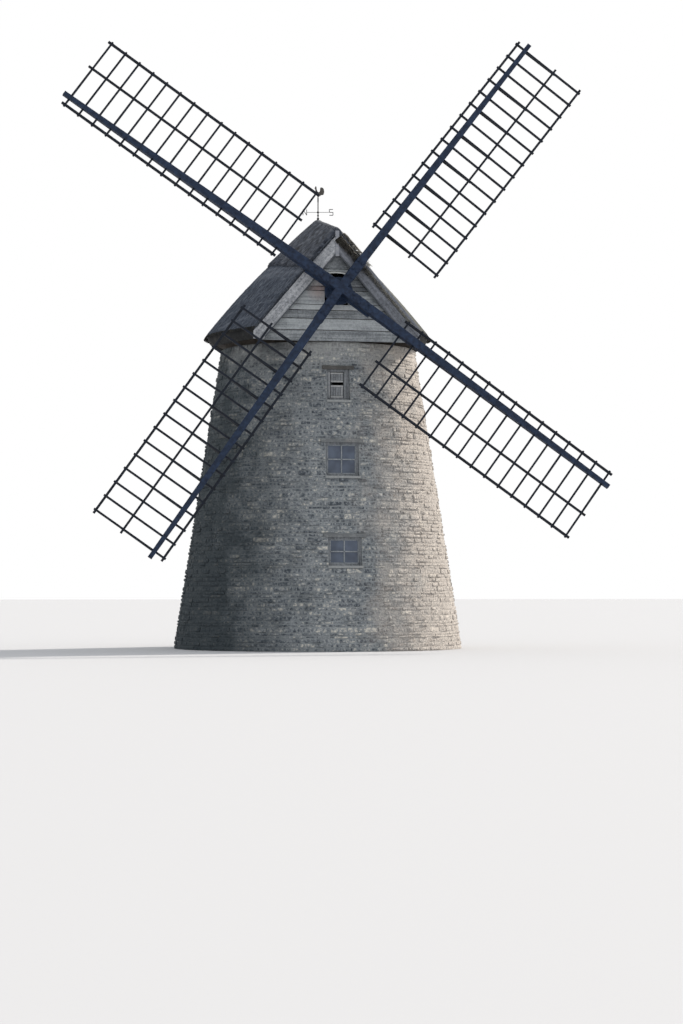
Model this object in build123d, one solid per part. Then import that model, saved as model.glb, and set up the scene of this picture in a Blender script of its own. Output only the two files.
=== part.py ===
from build123d import *
import math
import os

# Small tower mill: a battered round stone tower, a thatched cap that turns on a timber curb, and
# four open lattice sails on a sloping iron windshaft. Millimetres, +Z up. The origin is on the
# ground at the tower's axis, and the sails face -Y.

# Stone tower
wall_height = 8000
base_radius = 3900
top_radius = 2640
base_wall = 700
top_wall = 500
rim_height = 75
rim_width = 100
sector_count = 12

# Openings of the tower: centre across, sill height, clear width, clear height. The hatch hangs
# under the wall's top, and the door stands on the ground floor
hatch_centre = 40
hatch_head_drop = 655
hatch_width = 610
hatch_height = 810
window_centre = 90
window_width = 880
middle_sill = 4535
middle_height = 880
lower_sill = 2200
lower_height = 740
door_width = 940
door_height = 1800

# Stone heads and sills of the openings
lintel_height = 95
lintel_bearing = 115
lintel_depth = 230
lintel_proud = 12
sill_height = 60
sill_bearing = 20
sill_depth = 260
sill_proud = 40

# Joinery in the openings
frame_width = 60
frame_depth = 90
window_reveal = 70
glass_thickness = 6
shutter_thickness = 35
slot_width = 290
slot_height = 75
slot_rise = 400
door_frame_width = 85
door_frame_depth = 110
door_reveal = 260
door_thickness = 45
door_gap = 0.5

# Floors: each lies below the sill of the opening that lights it
ground_floor_thickness = 100
lower_floor_drop = 150
upper_floor_drop = 285
board_thickness = 40
floor_edge_gap = 12
beam_width = 200
beam_depth = 220
beam_offset = 1000
beam_bearing = 220
pocket_clearance = 10

# Curb inside the wall's rim, and the ring of the cap that turns on it
curb_gap = 10
curb_width = 340
curb_height = 120
ring_setback = 20
ring_width = 270
ring_height = 120
turning_gap = 0.3

# Thatched cap: how far it reaches past the wall's top at the eave and at the gable, and the rise of
# eave and ridge above the wall, at the axis and at the gable end
eave_overhang = 450
verge_overhang = 160
rear_eave_rise = 410
rear_apex_rise = 3580
rear_bulge = 130
verge_half_width = 2180
verge_eave_rise = 380
verge_apex_rise = 2950
verge_bulge = 25
plan_power = 1.5
thatch_thickness = 360
eave_round = 110
inside_drop = 500
section_steps = [0, 0.45, 0.75, 1]

# Ridge of newer straw: how far it laps down at the axis and at the gable, its thickness at its foot
# and at its crown, and the half-width of the rounded crown
rear_ridge_depth = 1260
verge_ridge_depth = 960
ridge_foot_thickness = 60
ridge_crown_thickness = 110
ridge_crown = 150

# Timber frame of the cap
plate_height = 100
plate_width = 340
sheer_height = 300
sheer_width = 220
sheer_offset = 650
sheer_bearing = 60
sill_beam_width = 200
sill_beam_drop = 60
rafter_depth = 110
rafter_width = 80
rear_rafter_angles = [22.5, 45, 67.5, 90, 112.5, 135, 157.5]
front_rafter_places = [0, 900, 1800]

# Boarded gable
gable_thickness = 40
gable_setback = 100
gable_foot_gap = 10
shaft_opening_width = 620
shaft_opening_depth = 440
shaft_opening_spring_rise = 380
shaft_opening_crown_rise = 470
barge_width = 340
barge_thickness = 40
barge_drop = 40
barge_reach = 2210
barge_foot_rise = 15

# Windshaft, its two bearing blocks and the beams that carry them
hub_overhang = 500
hub_rise = 1400
shaft_tilt = 8
shaft_radius = 155
neck_radius = 130
neck_seat = 345
tail_radius = 65
tail_seat = 171
tail_place = 1600
tail_overrun = 220
bearing_clearance = 0.3
shoulder_gap = 40
block_width = 420
block_length = 240
neck_beam_width = 320
neck_beam_overhang = 190
neck_beam_gap = 20
tail_beam_width = 240

# Iron cross on the windshaft's nose
arm_reach = 1020
arm_width = 265
arm_depth = 110
arm_fillet = 130
boss_radius = 365
boss_depth = 120

# Sails, numbered anticlockwise from the upper right as the front is seen. Each back is turned a
# little from the middle of its lattice
sail_angles = [51.7, 144.3, 234.3, 323.4]
back_turns = [0.43, 0.6, 0.23, 0.05]
back_root = 232
back_tip = 116
back_parallel = 1000
back_length = 8700
heel_gap = 2
bar_count = 16
first_bar = 1957
tip_overrun = 203
bar_size = 50
broad_side = 1754
leading_side = 325
uplong_sides = [900, 900, 912, 1005]
bar_overrun = 60
lath_size = 50
lath_overrun = 100
uplong_overrun = 120
heel_weather = 3
stay_size = 42
stay_overrun = 70
stay_bite = 5

# Weathercock and its rod, whose foot is in the roof and whose other heights are above the ridge
rod_radius = 14
rod_sunk = 680
rod_rise = 600
pin_radius = 10
pin_length = 90
pin_clearance = 0.3
pin_end_gap = 5
knob_rises = [145, 235, 325]
knob_radii = [34, 26, 30]
compass_rise = 325
compass_reach = 300
compass_radius = 6
compass_turn = -10.8
sleeve_radius = 18
sleeve_length = 112
cock_thickness = 8
cock_bite = 8
cock_heading = 41
cock_outline = [
    (-16, 0), (16, 0), (22, 52), (62, 68), (112, 96), (160, 132), (192, 190), (196, 250),
    (168, 306), (124, 326), (96, 296), (98, 246), (72, 196), (20, 176), (-34, 196), (-62, 244),
    (-70, 300), (-88, 330), (-112, 316), (-126, 286), (-162, 270), (-124, 252), (-112, 206),
    (-100, 142), (-66, 84), (-22, 52),
]

# Heights and places that follow from the sizes above
rim_top = wall_height + rim_height
rim_inner = top_radius - rim_width
curb_outer = rim_inner - curb_gap
curb_inner = curb_outer - curb_width
ring_outer = curb_outer - ring_setback
ring_inner = ring_outer - ring_width
hatch_sill = wall_height - hatch_head_drop - hatch_height
door_sill = ground_floor_thickness
floor_levels = [lower_sill - lower_floor_drop, middle_sill - upper_floor_drop,
                hatch_sill - upper_floor_drop]
rear_half_width = top_radius + eave_overhang
verge_distance = top_radius + verge_overhang
rear_eave = wall_height + rear_eave_rise
rear_apex = wall_height + rear_apex_rise
verge_eave = wall_height + verge_eave_rise
verge_apex = wall_height + verge_apex_rise
inside_foot = min(rear_eave, verge_eave) - thatch_thickness - inside_drop
hub_height = wall_height + hub_rise
gable_foot = rim_top + gable_foot_gap
barge_foot = gable_foot + barge_foot_rise
compass_height = rear_apex + compass_rise
rod_shoulder = rear_apex + rod_rise
cap_reach = 1.3 * rear_half_width
curb_top = wall_height + curb_height
ring_foot = curb_top + turning_gap
ring_top = ring_foot + ring_height
plate_top = ring_top + plate_height
sheer_top = ring_top + sheer_height
sheer_rear = math.sqrt(ring_inner ** 2 - sheer_offset ** 2) + sheer_bearing
gable_back = verge_distance - gable_setback - gable_thickness
hub_distance = verge_distance + hub_overhang
neck_place = gable_back - neck_beam_gap - neck_beam_width / 2
journal_length = block_length + 2 * shoulder_gap
bar_spacing = (back_length - tip_overrun - first_bar) / (bar_count - 1)
stay_bars = list(range(0, bar_count - 2, 2)) + [bar_count - 1]
batter = (base_radius - top_radius) / wall_height
shaft_slope = math.tan(math.radians(shaft_tilt))
sector_angle = 360 / sector_count

os.makedirs("parts", exist_ok=True)


def outer_radius(z):
    return base_radius - batter * z


def inner_radius(z):
    return outer_radius(z) - base_wall + (base_wall - top_wall) * z / wall_height


def block(x0, x1, y0, y1, z0, z1):
    """Rectangular block between two corners."""
    size = Box(x1 - x0, y1 - y0, z1 - z0)
    return Pos((x0 + x1) / 2, (y0 + y1) / 2, (z0 + z1) / 2) * size


def ring(inner, outer, z0, z1):
    """Flat ring about the tower's axis."""
    body = Cylinder(outer, z1 - z0) - Cylinder(inner, z1 - z0 + 2)
    return Pos(0, 0, (z0 + z1) / 2) * body


def write(shape, node):
    shape.label = node
    export_step(shape, f"parts/{node}.step")


class Opening:
    """A rectangular opening through the wall; side is -1 at the front and +1 at the rear."""

    def __init__(self, side, centre, sill, width, height, reveal, rim, depth):
        self.side = side
        self.x0 = centre - width / 2
        self.x1 = centre + width / 2
        self.z0 = sill
        self.z1 = sill + height
        self.face = outer_radius(sill + height) - reveal
        self.rim = rim
        self.depth = depth

    def place(self, x0, x1, near, far, z0, z1):
        """Block from near to far, both measured outwards from the tower's axis."""
        if self.side < 0:
            return block(x0, x1, -far, -near, z0, z1)
        return block(x0, x1, near, far, z0, z1)

    def cutter(self):
        return self.place(self.x0, self.x1, top_radius / 2, base_radius + 100, self.z0, self.z1)

    def lintel(self):
        out = outer_radius(self.z1) + lintel_proud
        return self.place(self.x0 - lintel_bearing, self.x1 + lintel_bearing,
                          out - lintel_depth, out, self.z1, self.z1 + lintel_height)

    def sill(self):
        out = outer_radius(self.z0) + sill_proud
        return self.place(self.x0 - sill_bearing, self.x1 + sill_bearing,
                          out - sill_depth, out, self.z0 - sill_height, self.z0)

    def frame(self):
        back = self.face - self.depth
        outer = self.place(self.x0, self.x1, back, self.face, self.z0, self.z1)
        return outer - self.place(self.x0 + self.rim, self.x1 - self.rim, back - 1, self.face + 1,
                                  self.z0 + self.rim, self.z1 - self.rim)

    def panel(self, thickness, gap=0):
        """Sheet that fills the frame, at the middle of its depth."""
        middle = self.face - self.depth / 2
        inset = self.rim + gap
        return self.place(self.x0 + inset, self.x1 - inset, middle - thickness / 2,
                          middle + thickness / 2, self.z0 + inset, self.z1 - inset)


hatch = Opening(-1, hatch_centre, hatch_sill, hatch_width, hatch_height,
                window_reveal, frame_width, frame_depth)
windows = [Opening(side, window_centre, sill, window_width, height,
                   window_reveal, frame_width, frame_depth)
           for side, sill, height in ((-1, middle_sill, middle_height),
                                      (-1, lower_sill, lower_height),
                                      (1, middle_sill, middle_height))]
door = Opening(1, 0, door_sill, door_width, door_height,
               door_reveal, door_frame_width, door_frame_depth)
openings = [hatch, door] + windows


def floor_beams():
    """Two beams under each floor, on pockets in the wall."""
    beams = []
    for level in floor_levels:
        top = level - board_thickness
        for y in (-beam_offset, beam_offset):
            reach = math.sqrt(inner_radius(top) ** 2 - beam_offset ** 2) + beam_bearing
            beams.append((-reach, reach, y - beam_width / 2, y + beam_width / 2,
                          top - beam_depth, top))
    return beams


def pocket(beam):
    x0, x1, y0, y1, z0, z1 = beam
    gap = pocket_clearance
    return block(x0 - gap, x1 + gap, y0 - gap, y1 + gap, z0, z1 + gap)


def wall_sector(index):
    """One sector of the wall: its profile turned about the tower's axis."""
    profile = Polygon((base_radius, 0), (outer_radius(rim_top), rim_top), (rim_inner, rim_top),
                      (rim_inner, wall_height), (top_radius - top_wall, wall_height),
                      (base_radius - base_wall, 0), align=None)
    start = -90 + (index - 0.5) * sector_angle
    sector = revolve(Plane.XZ * profile, axis=Axis.Z, revolution_arc=sector_angle)
    return Rot(0, 0, start) * sector


def make_tower():
    half = sector_count // 2
    names = {0: "front_wall", half: "rear_wall"}
    for step in range(1, half):
        names[step] = f"right_wall_{step}"
        names[sector_count - step] = f"left_wall_{step}"
    pockets = [pocket(beam) for beam in floor_beams()]
    for index, name in names.items():
        sector = wall_sector(index)
        side = {0: -1, half: 1}.get(index, 0)
        for opening in openings:
            if opening.side == side:
                sector = sector - opening.cutter() - opening.lintel() - opening.sill()
        if side == 0:
            for hole in pockets:
                sector = sector - hole
        write(sector, name)

    write(Compound([opening.lintel() for opening in openings]), "lintels")
    write(Compound([opening.sill() for opening in openings]), "sills")
    write(Compound([window.frame() for window in windows]), "window_frames")
    write(Compound([window.panel(glass_thickness) for window in windows]), "window_glass")
    write(hatch.frame(), "hatch_frame")
    slot = block(hatch_centre - slot_width / 2, hatch_centre + slot_width / 2,
                 -base_radius, 0, hatch_sill + slot_rise, hatch_sill + slot_rise + slot_height)
    write(hatch.panel(shutter_thickness) - slot, "hatch_shutter")
    write(door.frame(), "door_frame")
    write(door.panel(door_thickness, door_gap), "plank_door")


def make_floors():
    slab_radius = inner_radius(ground_floor_thickness)
    slab = Cylinder(slab_radius, ground_floor_thickness)
    write(Pos(0, 0, ground_floor_thickness / 2) * slab, "ground_floor")
    write(Compound([block(*beam) for beam in floor_beams()]), "floor_beams")
    boards = []
    for level in floor_levels:
        disc = Cylinder(inner_radius(level) - floor_edge_gap, board_thickness)
        boards.append(Pos(0, 0, level - board_thickness / 2) * disc)
    write(Compound(boards), "upper_floors")


def make_curb():
    write(ring(curb_inner, curb_outer, wall_height, curb_top), "curb_ring")
    write(ring(ring_inner, ring_outer, ring_foot, ring_top), "cap_ring")


class CapSection:
    """Cross-section of the thatch at a distance in front of the tower's axis."""

    def __init__(self, distance):
        share = distance / verge_distance
        curve = share ** plan_power
        self.y = -distance
        self.half = rear_half_width + (verge_half_width - rear_half_width) * curve
        self.eave = rear_eave + (verge_eave - rear_eave) * share
        self.apex = rear_apex + (verge_apex - rear_apex) * share
        self.bulge = rear_bulge + (verge_bulge - rear_bulge) * share
        self.ridge_depth = rear_ridge_depth + (verge_ridge_depth - rear_ridge_depth) * share
        self.pitch = math.atan2(self.apex - self.eave, self.half)
        self.inner_half = self.half - thatch_thickness * math.sin(self.pitch)
        self.inner_eave = self.eave - thatch_thickness * math.cos(self.pitch)
        self.inner_apex = self.apex - thatch_thickness / math.cos(self.pitch)

    def slope_point(self, share, proud):
        """Point on the outer slope, from the eave at 0 to the apex at 1, raised by proud."""
        rise = proud + 4 * self.bulge * share * (1 - share)
        return (self.half * (1 - share) + rise * math.sin(self.pitch),
                self.eave + (self.apex - self.eave) * share + rise * math.cos(self.pitch))

    def face(self, edges):
        plane = Plane(origin=(0, self.y, 0), x_dir=(1, 0, 0), z_dir=(0, -1, 0))
        return plane * make_face(edges)

    def eave_arc(self):
        """Start, middle and end of the rounded eave: on the slope, at the corner, on the cut face."""
        sine, cosine = math.sin(self.pitch), math.cos(self.pitch)
        slope_length = math.hypot(self.half, self.apex - self.eave)
        start = self.slope_point(eave_round / slope_length, 0)
        end = (self.half - eave_round * sine, self.eave - eave_round * cosine)
        inwards = eave_round * (1 - math.sqrt(0.5))
        middle = (self.half - inwards * (sine + cosine), self.eave - inwards * (cosine - sine))
        return start, middle, end

    def thatch(self, right_only=False):
        start, corner, end = self.eave_arc()
        middle = self.slope_point(0.5, 0)
        apex, under_apex = (0, self.apex), (0, self.inner_apex)
        under = (self.inner_half, self.inner_eave)
        if right_only:
            return self.face([ThreePointArc(start, middle, apex), Line(apex, under_apex),
                              Line(under_apex, under), Line(under, end),
                              ThreePointArc(end, corner, start)])
        return self.face([ThreePointArc(start, middle, apex),
                          ThreePointArc(apex, mirrored(middle), mirrored(start)),
                          ThreePointArc(mirrored(start), mirrored(corner), mirrored(end)),
                          Line(mirrored(end), mirrored(under)),
                          Line(mirrored(under), under_apex), Line(under_apex, under),
                          Line(under, end), ThreePointArc(end, corner, start)])

    def ridge(self, right_only=False):
        low = 1 - self.ridge_depth / (self.apex - self.eave)
        crown = 1 - ridge_crown / self.half
        foot = self.slope_point(low, ridge_foot_thickness)
        toe = self.slope_point(low, -ridge_foot_thickness / 2)
        shoulder = self.slope_point(crown, ridge_crown_thickness)
        top = (0, self.apex + ridge_crown_thickness)
        core = (0, self.apex - ridge_foot_thickness)
        if right_only:
            rise = top[1] - shoulder[1]
            radius = (shoulder[0] ** 2 + rise ** 2) / (2 * rise)
            turn = math.asin(shoulder[0] / radius) / 2
            middle = (radius * math.sin(turn), top[1] - radius * (1 - math.cos(turn)))
            return self.face([Line(toe, foot), Line(foot, shoulder),
                              ThreePointArc(shoulder, middle, top),
                              Line(top, core), Line(core, toe)])
        return self.face([Line(toe, foot), Line(foot, shoulder),
                          ThreePointArc(shoulder, top, mirrored(shoulder)),
                          Line(mirrored(shoulder), mirrored(foot)),
                          Line(mirrored(foot), mirrored(toe)),
                          Line(mirrored(toe), core), Line(core, toe)])

    def inside(self, drop, right_only=False):
        """The space under the thatch, lowered by drop, down to below the curb."""
        corner, apex = (self.inner_half, self.inner_eave - drop), (0, self.inner_apex - drop)
        base = (self.inner_half, inside_foot)
        left = (0, inside_foot) if right_only else mirrored(base)
        points = [base, corner, apex] + ([] if right_only else [mirrored(corner)]) + [left]
        return self.face([Line(a, b) for a, b in zip(points, points[1:] + points[:1])])


def mirrored(point):
    return (-point[0], point[1])


cap_sections = [CapSection(verge_distance * step) for step in section_steps]
rafter_drop = rafter_depth / math.cos(cap_sections[0].pitch)


def cap_form(draw):
    """Cap shape: sections lofted from the gable to the axis, then turned round the rear."""
    sections = [draw(section, False) for section in cap_sections]
    front = [loft([near, far], ruled=True) for near, far in zip(sections, sections[1:])]
    half = draw(cap_sections[0], True)
    rear = revolve(half, axis=Axis.Z, revolution_arc=180)
    form = rear
    for piece in front:
        form = form + piece
    return form


def inside_form(drop):
    return cap_form(lambda section, right: section.inside(drop, right))


def rod_bore():
    """Hole for the weathercock's rod, from its foot to above the ridge."""
    return Pos(0, 0, rear_apex) * Cylinder(rod_radius, 2 * (rod_sunk + rod_rise))


def make_thatch():
    thatch = cap_form(lambda section, right: section.thatch(right))
    ridge = cap_form(lambda section, right: section.ridge(right)) - thatch
    bore = rod_bore()
    write(thatch - bore, "thatch")
    write(ridge - bore, "thatch_ridge")


def make_cap_frame():
    room = inside_form(0)
    plate_drop = plate_width * math.tan(cap_sections[0].pitch)
    slab = block(-cap_reach, cap_reach, -gable_back, cap_reach, ring_top, plate_top)
    frame = (room - inside_form(plate_drop)) & slab
    for x in (-sheer_offset, sheer_offset):
        frame = frame + block(x - sheer_width / 2, x + sheer_width / 2, -gable_back, sheer_rear,
                              ring_top, sheer_top)
    sill_reach = cap_sections[-1].inner_half - plate_width
    frame = frame + block(-sill_reach, sill_reach, -gable_back,
                          -gable_back + sill_beam_width, ring_top,
                          sheer_top - sill_beam_drop)
    frame = frame + block(-sheer_offset, sheer_offset, tail_place - tail_beam_width / 2,
                          tail_place + tail_beam_width / 2, ring_top,
                          shaft_height(tail_place) - tail_seat)
    write(frame, "cap_frame")

    shell = room - inside_form(rafter_drop)
    half = rafter_width / 2
    plates = block(-half, half, -gable_back, 0, plate_top, rear_apex)
    for place in front_rafter_places + [gable_back - half]:
        plates = plates + block(-cap_reach, cap_reach, -place - half, -place + half, plate_top,
                                rear_apex)
    for angle in rear_rafter_angles:
        plates = plates + Rot(0, 0, angle) * block(0, cap_reach, -half, half, plate_top, rear_apex)
    write((shell & plates) - rod_bore() - frame, "cap_rafters")

    gable = room & block(-cap_reach, cap_reach, -gable_back - gable_thickness, -gable_back,
                         gable_foot, rear_apex)
    half_opening = shaft_opening_width / 2
    foot, spring = hub_height - shaft_opening_depth, hub_height + shaft_opening_spring_rise
    arch = [Line((-half_opening, foot), (half_opening, foot)),
            Line((half_opening, foot), (half_opening, spring)),
            ThreePointArc((half_opening, spring), (0, hub_height + shaft_opening_crown_rise),
                          (-half_opening, spring)),
            Line((-half_opening, spring), (-half_opening, foot))]
    hole = extrude(Plane.XZ * make_face(arch), amount=cap_reach, both=True)
    write(gable - hole, "gable_boards")

    verge = cap_sections[-1]
    slope = math.tan(verge.pitch)
    top = verge.apex - barge_drop
    inner_top = top - barge_width / math.cos(verge.pitch)
    board = Polygon((0, top), (0, inner_top), ((inner_top - barge_foot) / slope, barge_foot),
                    (barge_reach, barge_foot), (barge_reach, top - slope * barge_reach), align=None)
    face = Plane(origin=(0, -verge_distance, 0), x_dir=(1, 0, 0), z_dir=(0, -1, 0))
    right_barge = extrude(face * board, amount=barge_thickness)
    write(right_barge, "right_barge_board")
    write(mirror(right_barge, about=Plane.YZ), "left_barge_board")


def shaft_height(y):
    """Height of the windshaft's axis at a place along the cap."""
    return hub_height - (y + hub_distance) * shaft_slope


back_angles = [angle + turn for angle, turn in zip(sail_angles, back_turns)]
rotor_plane = Plane(origin=(0, -hub_distance, hub_height), x_dir=(1, 0, 0),
                    z_dir=(0, -math.cos(math.radians(shaft_tilt)),
                           math.sin(math.radians(shaft_tilt))))


def on_rotor(shape):
    """Move a shape from the sail wheel's own frame (z forwards along the shaft) to its place."""
    return rotor_plane.location * shape


def along_shaft(y):
    """Place along the windshaft, from the hub's centre, for a place along the cap."""
    return -(y + hub_distance) / math.cos(math.radians(shaft_tilt))


def shaft_piece(radius, z0, z1):
    return Pos(0, 0, (z0 + z1) / 2) * Cylinder(radius, z1 - z0)


def make_bearings():
    blocks = []
    for y, radius, seat_height in ((-neck_place, neck_radius, neck_seat),
                                   (tail_place, tail_radius, tail_seat)):
        body = block(-block_width / 2, block_width / 2, y - block_length / 2,
                     y + block_length / 2, shaft_height(y) - seat_height, shaft_height(y))
        seat = on_rotor(shaft_piece(radius + bearing_clearance, along_shaft(y) - block_length,
                                    along_shaft(y) + block_length))
        blocks.append(body - seat)
    write(Compound(blocks), "shaft_bearings")
    half = sheer_offset + sheer_width / 2 + neck_beam_overhang
    beam = block(-half, half, -neck_place - neck_beam_width / 2, -neck_place + neck_beam_width / 2,
                 sheer_top, shaft_height(-neck_place) - neck_seat)
    write(beam & inside_form(rafter_drop), "neck_beam")


def make_windshaft():
    nose = -back_root / 2 - arm_depth - boss_depth
    neck = along_shaft(-neck_place)
    tail = along_shaft(tail_place)
    end = along_shaft(tail_place + tail_overrun)
    shoulder = journal_length / 2
    shaft = shaft_piece(shaft_radius, neck + shoulder, nose)
    shaft = shaft + shaft_piece(neck_radius, neck - shoulder, neck + shoulder)
    shaft = shaft + shaft_piece(shaft_radius, tail + shoulder, neck - shoulder)
    shaft = shaft + shaft_piece(tail_radius, end, tail + shoulder)
    write(on_rotor(shaft), "windshaft")


def make_iron_cross():
    """Four arms behind the sail backs, with filleted corners, and a round boss on the shaft."""
    outline = None
    for angle in back_angles:
        arm = Rot(0, 0, angle) * (Pos(arm_reach / 2, 0) * Rectangle(arm_reach, arm_width))
        outline = arm if outline is None else outline + arm
    outline = outline + Circle(arm_width / 2)
    inner = [v for v in outline.vertices() if math.hypot(v.X, v.Y) < 2 * arm_width]
    outline = fillet(inner, arm_fillet)
    front = -back_root / 2
    arms = Pos(0, 0, front - arm_depth) * extrude(outline, amount=arm_depth)
    boss = shaft_piece(boss_radius, front - arm_depth - boss_depth, front - arm_depth)
    write(on_rotor(arms + boss), "iron_cross")


def square_beam(x0, x1, size0, size1):
    """Beam along X whose square section changes evenly from size0 to size1."""
    start = Plane.YZ.offset(x0) * Rectangle(size0, size0)
    finish = Plane.YZ.offset(x1) * Rectangle(size1, size1)
    return loft([start, finish], ruled=True)


def strut(start, finish, size):
    """Square bar between two points."""
    line = Vector(*finish) - Vector(*start)
    across = Vector(1, 0, 0) if abs(line.normalized().X) < 0.5 else Vector(0, 0, 1)
    plane = Plane(origin=start, x_dir=across, z_dir=line)
    return extrude(plane * Rectangle(size, size), amount=line.length)


def bar_point(index, side, depth=0):
    """Point on a sail bar: side is measured across to the broad side, depth to the rear."""
    weather = math.radians(heel_weather * (1 - index / (bar_count - 1)))
    x = first_bar + bar_spacing * index
    return (x, -side * math.cos(weather), -side * math.sin(weather) - depth)


def back_size(x):
    """Depth of a sail back at a distance from the hub."""
    share = (x - back_parallel) / (back_length - back_parallel)
    return back_root + (back_tip - back_root) * share


def sail_lattice(uplong_side):
    """Bars, laths and stays of one sail, lying along +X with its broad side towards -Y."""
    pieces = []
    for index in range(bar_count):
        pieces.append(strut(bar_point(index, -leading_side - bar_overrun),
                            bar_point(index, broad_side + bar_overrun), bar_size))
    for side, overrun in ((-leading_side, lath_overrun), (uplong_side, uplong_overrun),
                          (broad_side, lath_overrun)):
        heel = Vector(*bar_point(0, side))
        tip = Vector(*bar_point(bar_count - 1, side))
        reach = (tip - heel).normalized() * overrun
        pieces.append(strut(tuple(heel - reach), tuple(tip + reach), lath_size))
    for index in stay_bars:
        x = bar_point(index, 0)[0]
        foot = (x, back_size(x) / 2, -back_size(x) / 2 - stay_size / 2)
        end = bar_point(index, uplong_side + stay_overrun,
                        (bar_size + stay_size) / 2 - stay_bite)
        pieces.append(strut(foot, end, stay_size))
    return pieces[0].fuse(*pieces[1:])


def heel_wedge(index):
    """Room for a back's heel: up to halfway to the back on each side, less a thin gap."""
    count = len(back_angles)
    ahead = (back_angles[(index + 1) % count] - back_angles[index]) % 360
    behind = (back_angles[index] - back_angles[index - 1]) % 360
    sides = [back_length * math.tan(math.radians(turn / 2)) for turn in (behind, ahead)]
    return Polygon((heel_gap, 0), (heel_gap + back_length, -sides[0]),
                   (heel_gap + back_length, sides[1]), align=None)


def make_sails():
    beam = square_beam(0, back_parallel, back_root, back_root)
    beam = beam + square_beam(back_parallel, back_length, back_root, back_tip)
    for index, (angle, uplong_side) in enumerate(zip(sail_angles, uplong_sides)):
        lattice = Rot(0, 0, angle) * sail_lattice(uplong_side)
        back = beam & extrude(heel_wedge(index), amount=back_root, both=True)
        back = Rot(0, 0, back_angles[index]) * back - lattice
        write(on_rotor(back), f"sail_back_{index + 1}")
        write(on_rotor(lattice), f"sail_lattice_{index + 1}")


def make_vane():
    length = rod_rise + rod_sunk
    rod = Pos(0, 0, rod_shoulder - length / 2) * Cylinder(rod_radius, length)
    pin = Cylinder(pin_radius, pin_length)
    rod = rod + Pos(0, 0, rod_shoulder + pin_length / 2) * pin
    for rise, radius in zip(knob_rises, knob_radii):
        rod = rod + Pos(0, 0, rear_apex + rise) * Sphere(radius)
    for turn in (0, 90):
        arm = Rot(0, 90, 0) * Cylinder(compass_radius, 2 * compass_reach)
        rod = rod + Pos(0, 0, compass_height) * Rot(0, 0, compass_turn + turn) * arm
    write(rod, "vane_rod")

    foot = rod_shoulder + turning_gap
    sleeve = Pos(0, 0, foot + sleeve_length / 2) * Cylinder(sleeve_radius, sleeve_length)
    depth = pin_length + pin_end_gap
    bore = Pos(0, 0, foot) * Cylinder(pin_radius + pin_clearance, 2 * depth)
    plate = extrude(Plane.XZ * Polygon(*cock_outline, align=None), amount=cock_thickness / 2,
                    both=True)
    cock = Pos(0, 0, foot + sleeve_length - cock_bite) * plate
    write(Rot(0, 0, cock_heading) * (sleeve - bore + cock), "weathercock")


make_tower()
make_floors()
make_curb()
make_thatch()
make_cap_frame()
make_bearings()
make_windshaft()
make_iron_cross()
make_sails()
make_vane()
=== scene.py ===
# %% [markdown]
# # A small tower mill, dressed for its portrait
#
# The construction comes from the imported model: tower, cap, windshaft, sails and weathercock, each
# at its real size. This script gives them their surfaces: nearly six thousand stones on the wall,
# straw on the cap, lapped boards in the gable, paint on the sails.
#
# Every piece is worked out in metres in the mill's own frame: +Z up, the sails facing -Y, the
# origin on the ground at the tower's axis.

# %% Load the mill
import math

import bpy
import numpy as np
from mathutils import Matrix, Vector


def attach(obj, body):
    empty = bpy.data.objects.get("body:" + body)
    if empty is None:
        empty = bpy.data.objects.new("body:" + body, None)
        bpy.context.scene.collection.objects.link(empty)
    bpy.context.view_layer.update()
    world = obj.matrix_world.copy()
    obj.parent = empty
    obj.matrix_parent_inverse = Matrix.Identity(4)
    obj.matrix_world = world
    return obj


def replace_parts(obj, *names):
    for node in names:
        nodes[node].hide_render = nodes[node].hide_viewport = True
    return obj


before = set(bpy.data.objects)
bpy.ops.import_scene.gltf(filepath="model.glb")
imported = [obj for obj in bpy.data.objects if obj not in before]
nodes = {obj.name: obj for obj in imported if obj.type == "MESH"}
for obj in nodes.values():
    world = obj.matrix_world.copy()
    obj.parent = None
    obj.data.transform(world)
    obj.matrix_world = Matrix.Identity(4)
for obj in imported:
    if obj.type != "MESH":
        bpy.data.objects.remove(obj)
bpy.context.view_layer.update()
scene = bpy.context.scene

# %% [markdown]
# ## The camera
#
# The photograph was taken from the field in front of the hedge, a little to the left of the sails'
# axis, with a long lens. The distance was found from the sails: their bars are evenly spaced, so
# their narrowing with height gives the distance, and the tilt of the sail wheel gives the angle.

# %% Camera at the photographer's place
HUB = Vector((0.0, -3.3, 9.4))
EYE = Vector((-11.243, -62.237, 1.6))
LOOK = Vector((0.18766, 0.98167, 0.03319))
LENS, SENSOR, FARTHEST = 81.63, 36, 600

camera = bpy.data.objects.new("camera", bpy.data.cameras.new("camera"))
camera.data.lens = LENS
camera.data.sensor_width = SENSOR
camera.data.clip_end = FARTHEST
camera.location = EYE
camera.rotation_euler = LOOK.to_track_quat("-Z", "Y").to_euler()
scene.collection.objects.link(camera)
scene.camera = camera
print("camera to hub:", round((HUB - EYE).length, 2), "m")

# %% [markdown]
# ## Small tools
#
# `paint` turns a hex colour, which is how a designer notes it, into the linear numbers that the
# renderer adds up. `node` adds one shader node with its settings and links, and the short helpers
# after it name what a node does. `piece` turns arrays of points and faces into a mesh that rides
# on a body.

# %% Colours and shader nodes


def paint(code):
    """Linear colour of an sRGB hex value: each channel to the power 2.4 above a short straight foot."""
    parts = [int(code[k:k + 2], 16) / 255 for k in (1, 3, 5)]
    return [c / 12.92 if c <= 0.04045 else ((c + 0.055) / 1.055) ** 2.4 for c in parts] + [1.0]


def link(material, source, target):
    material.node_tree.links.new(source, target)


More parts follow.
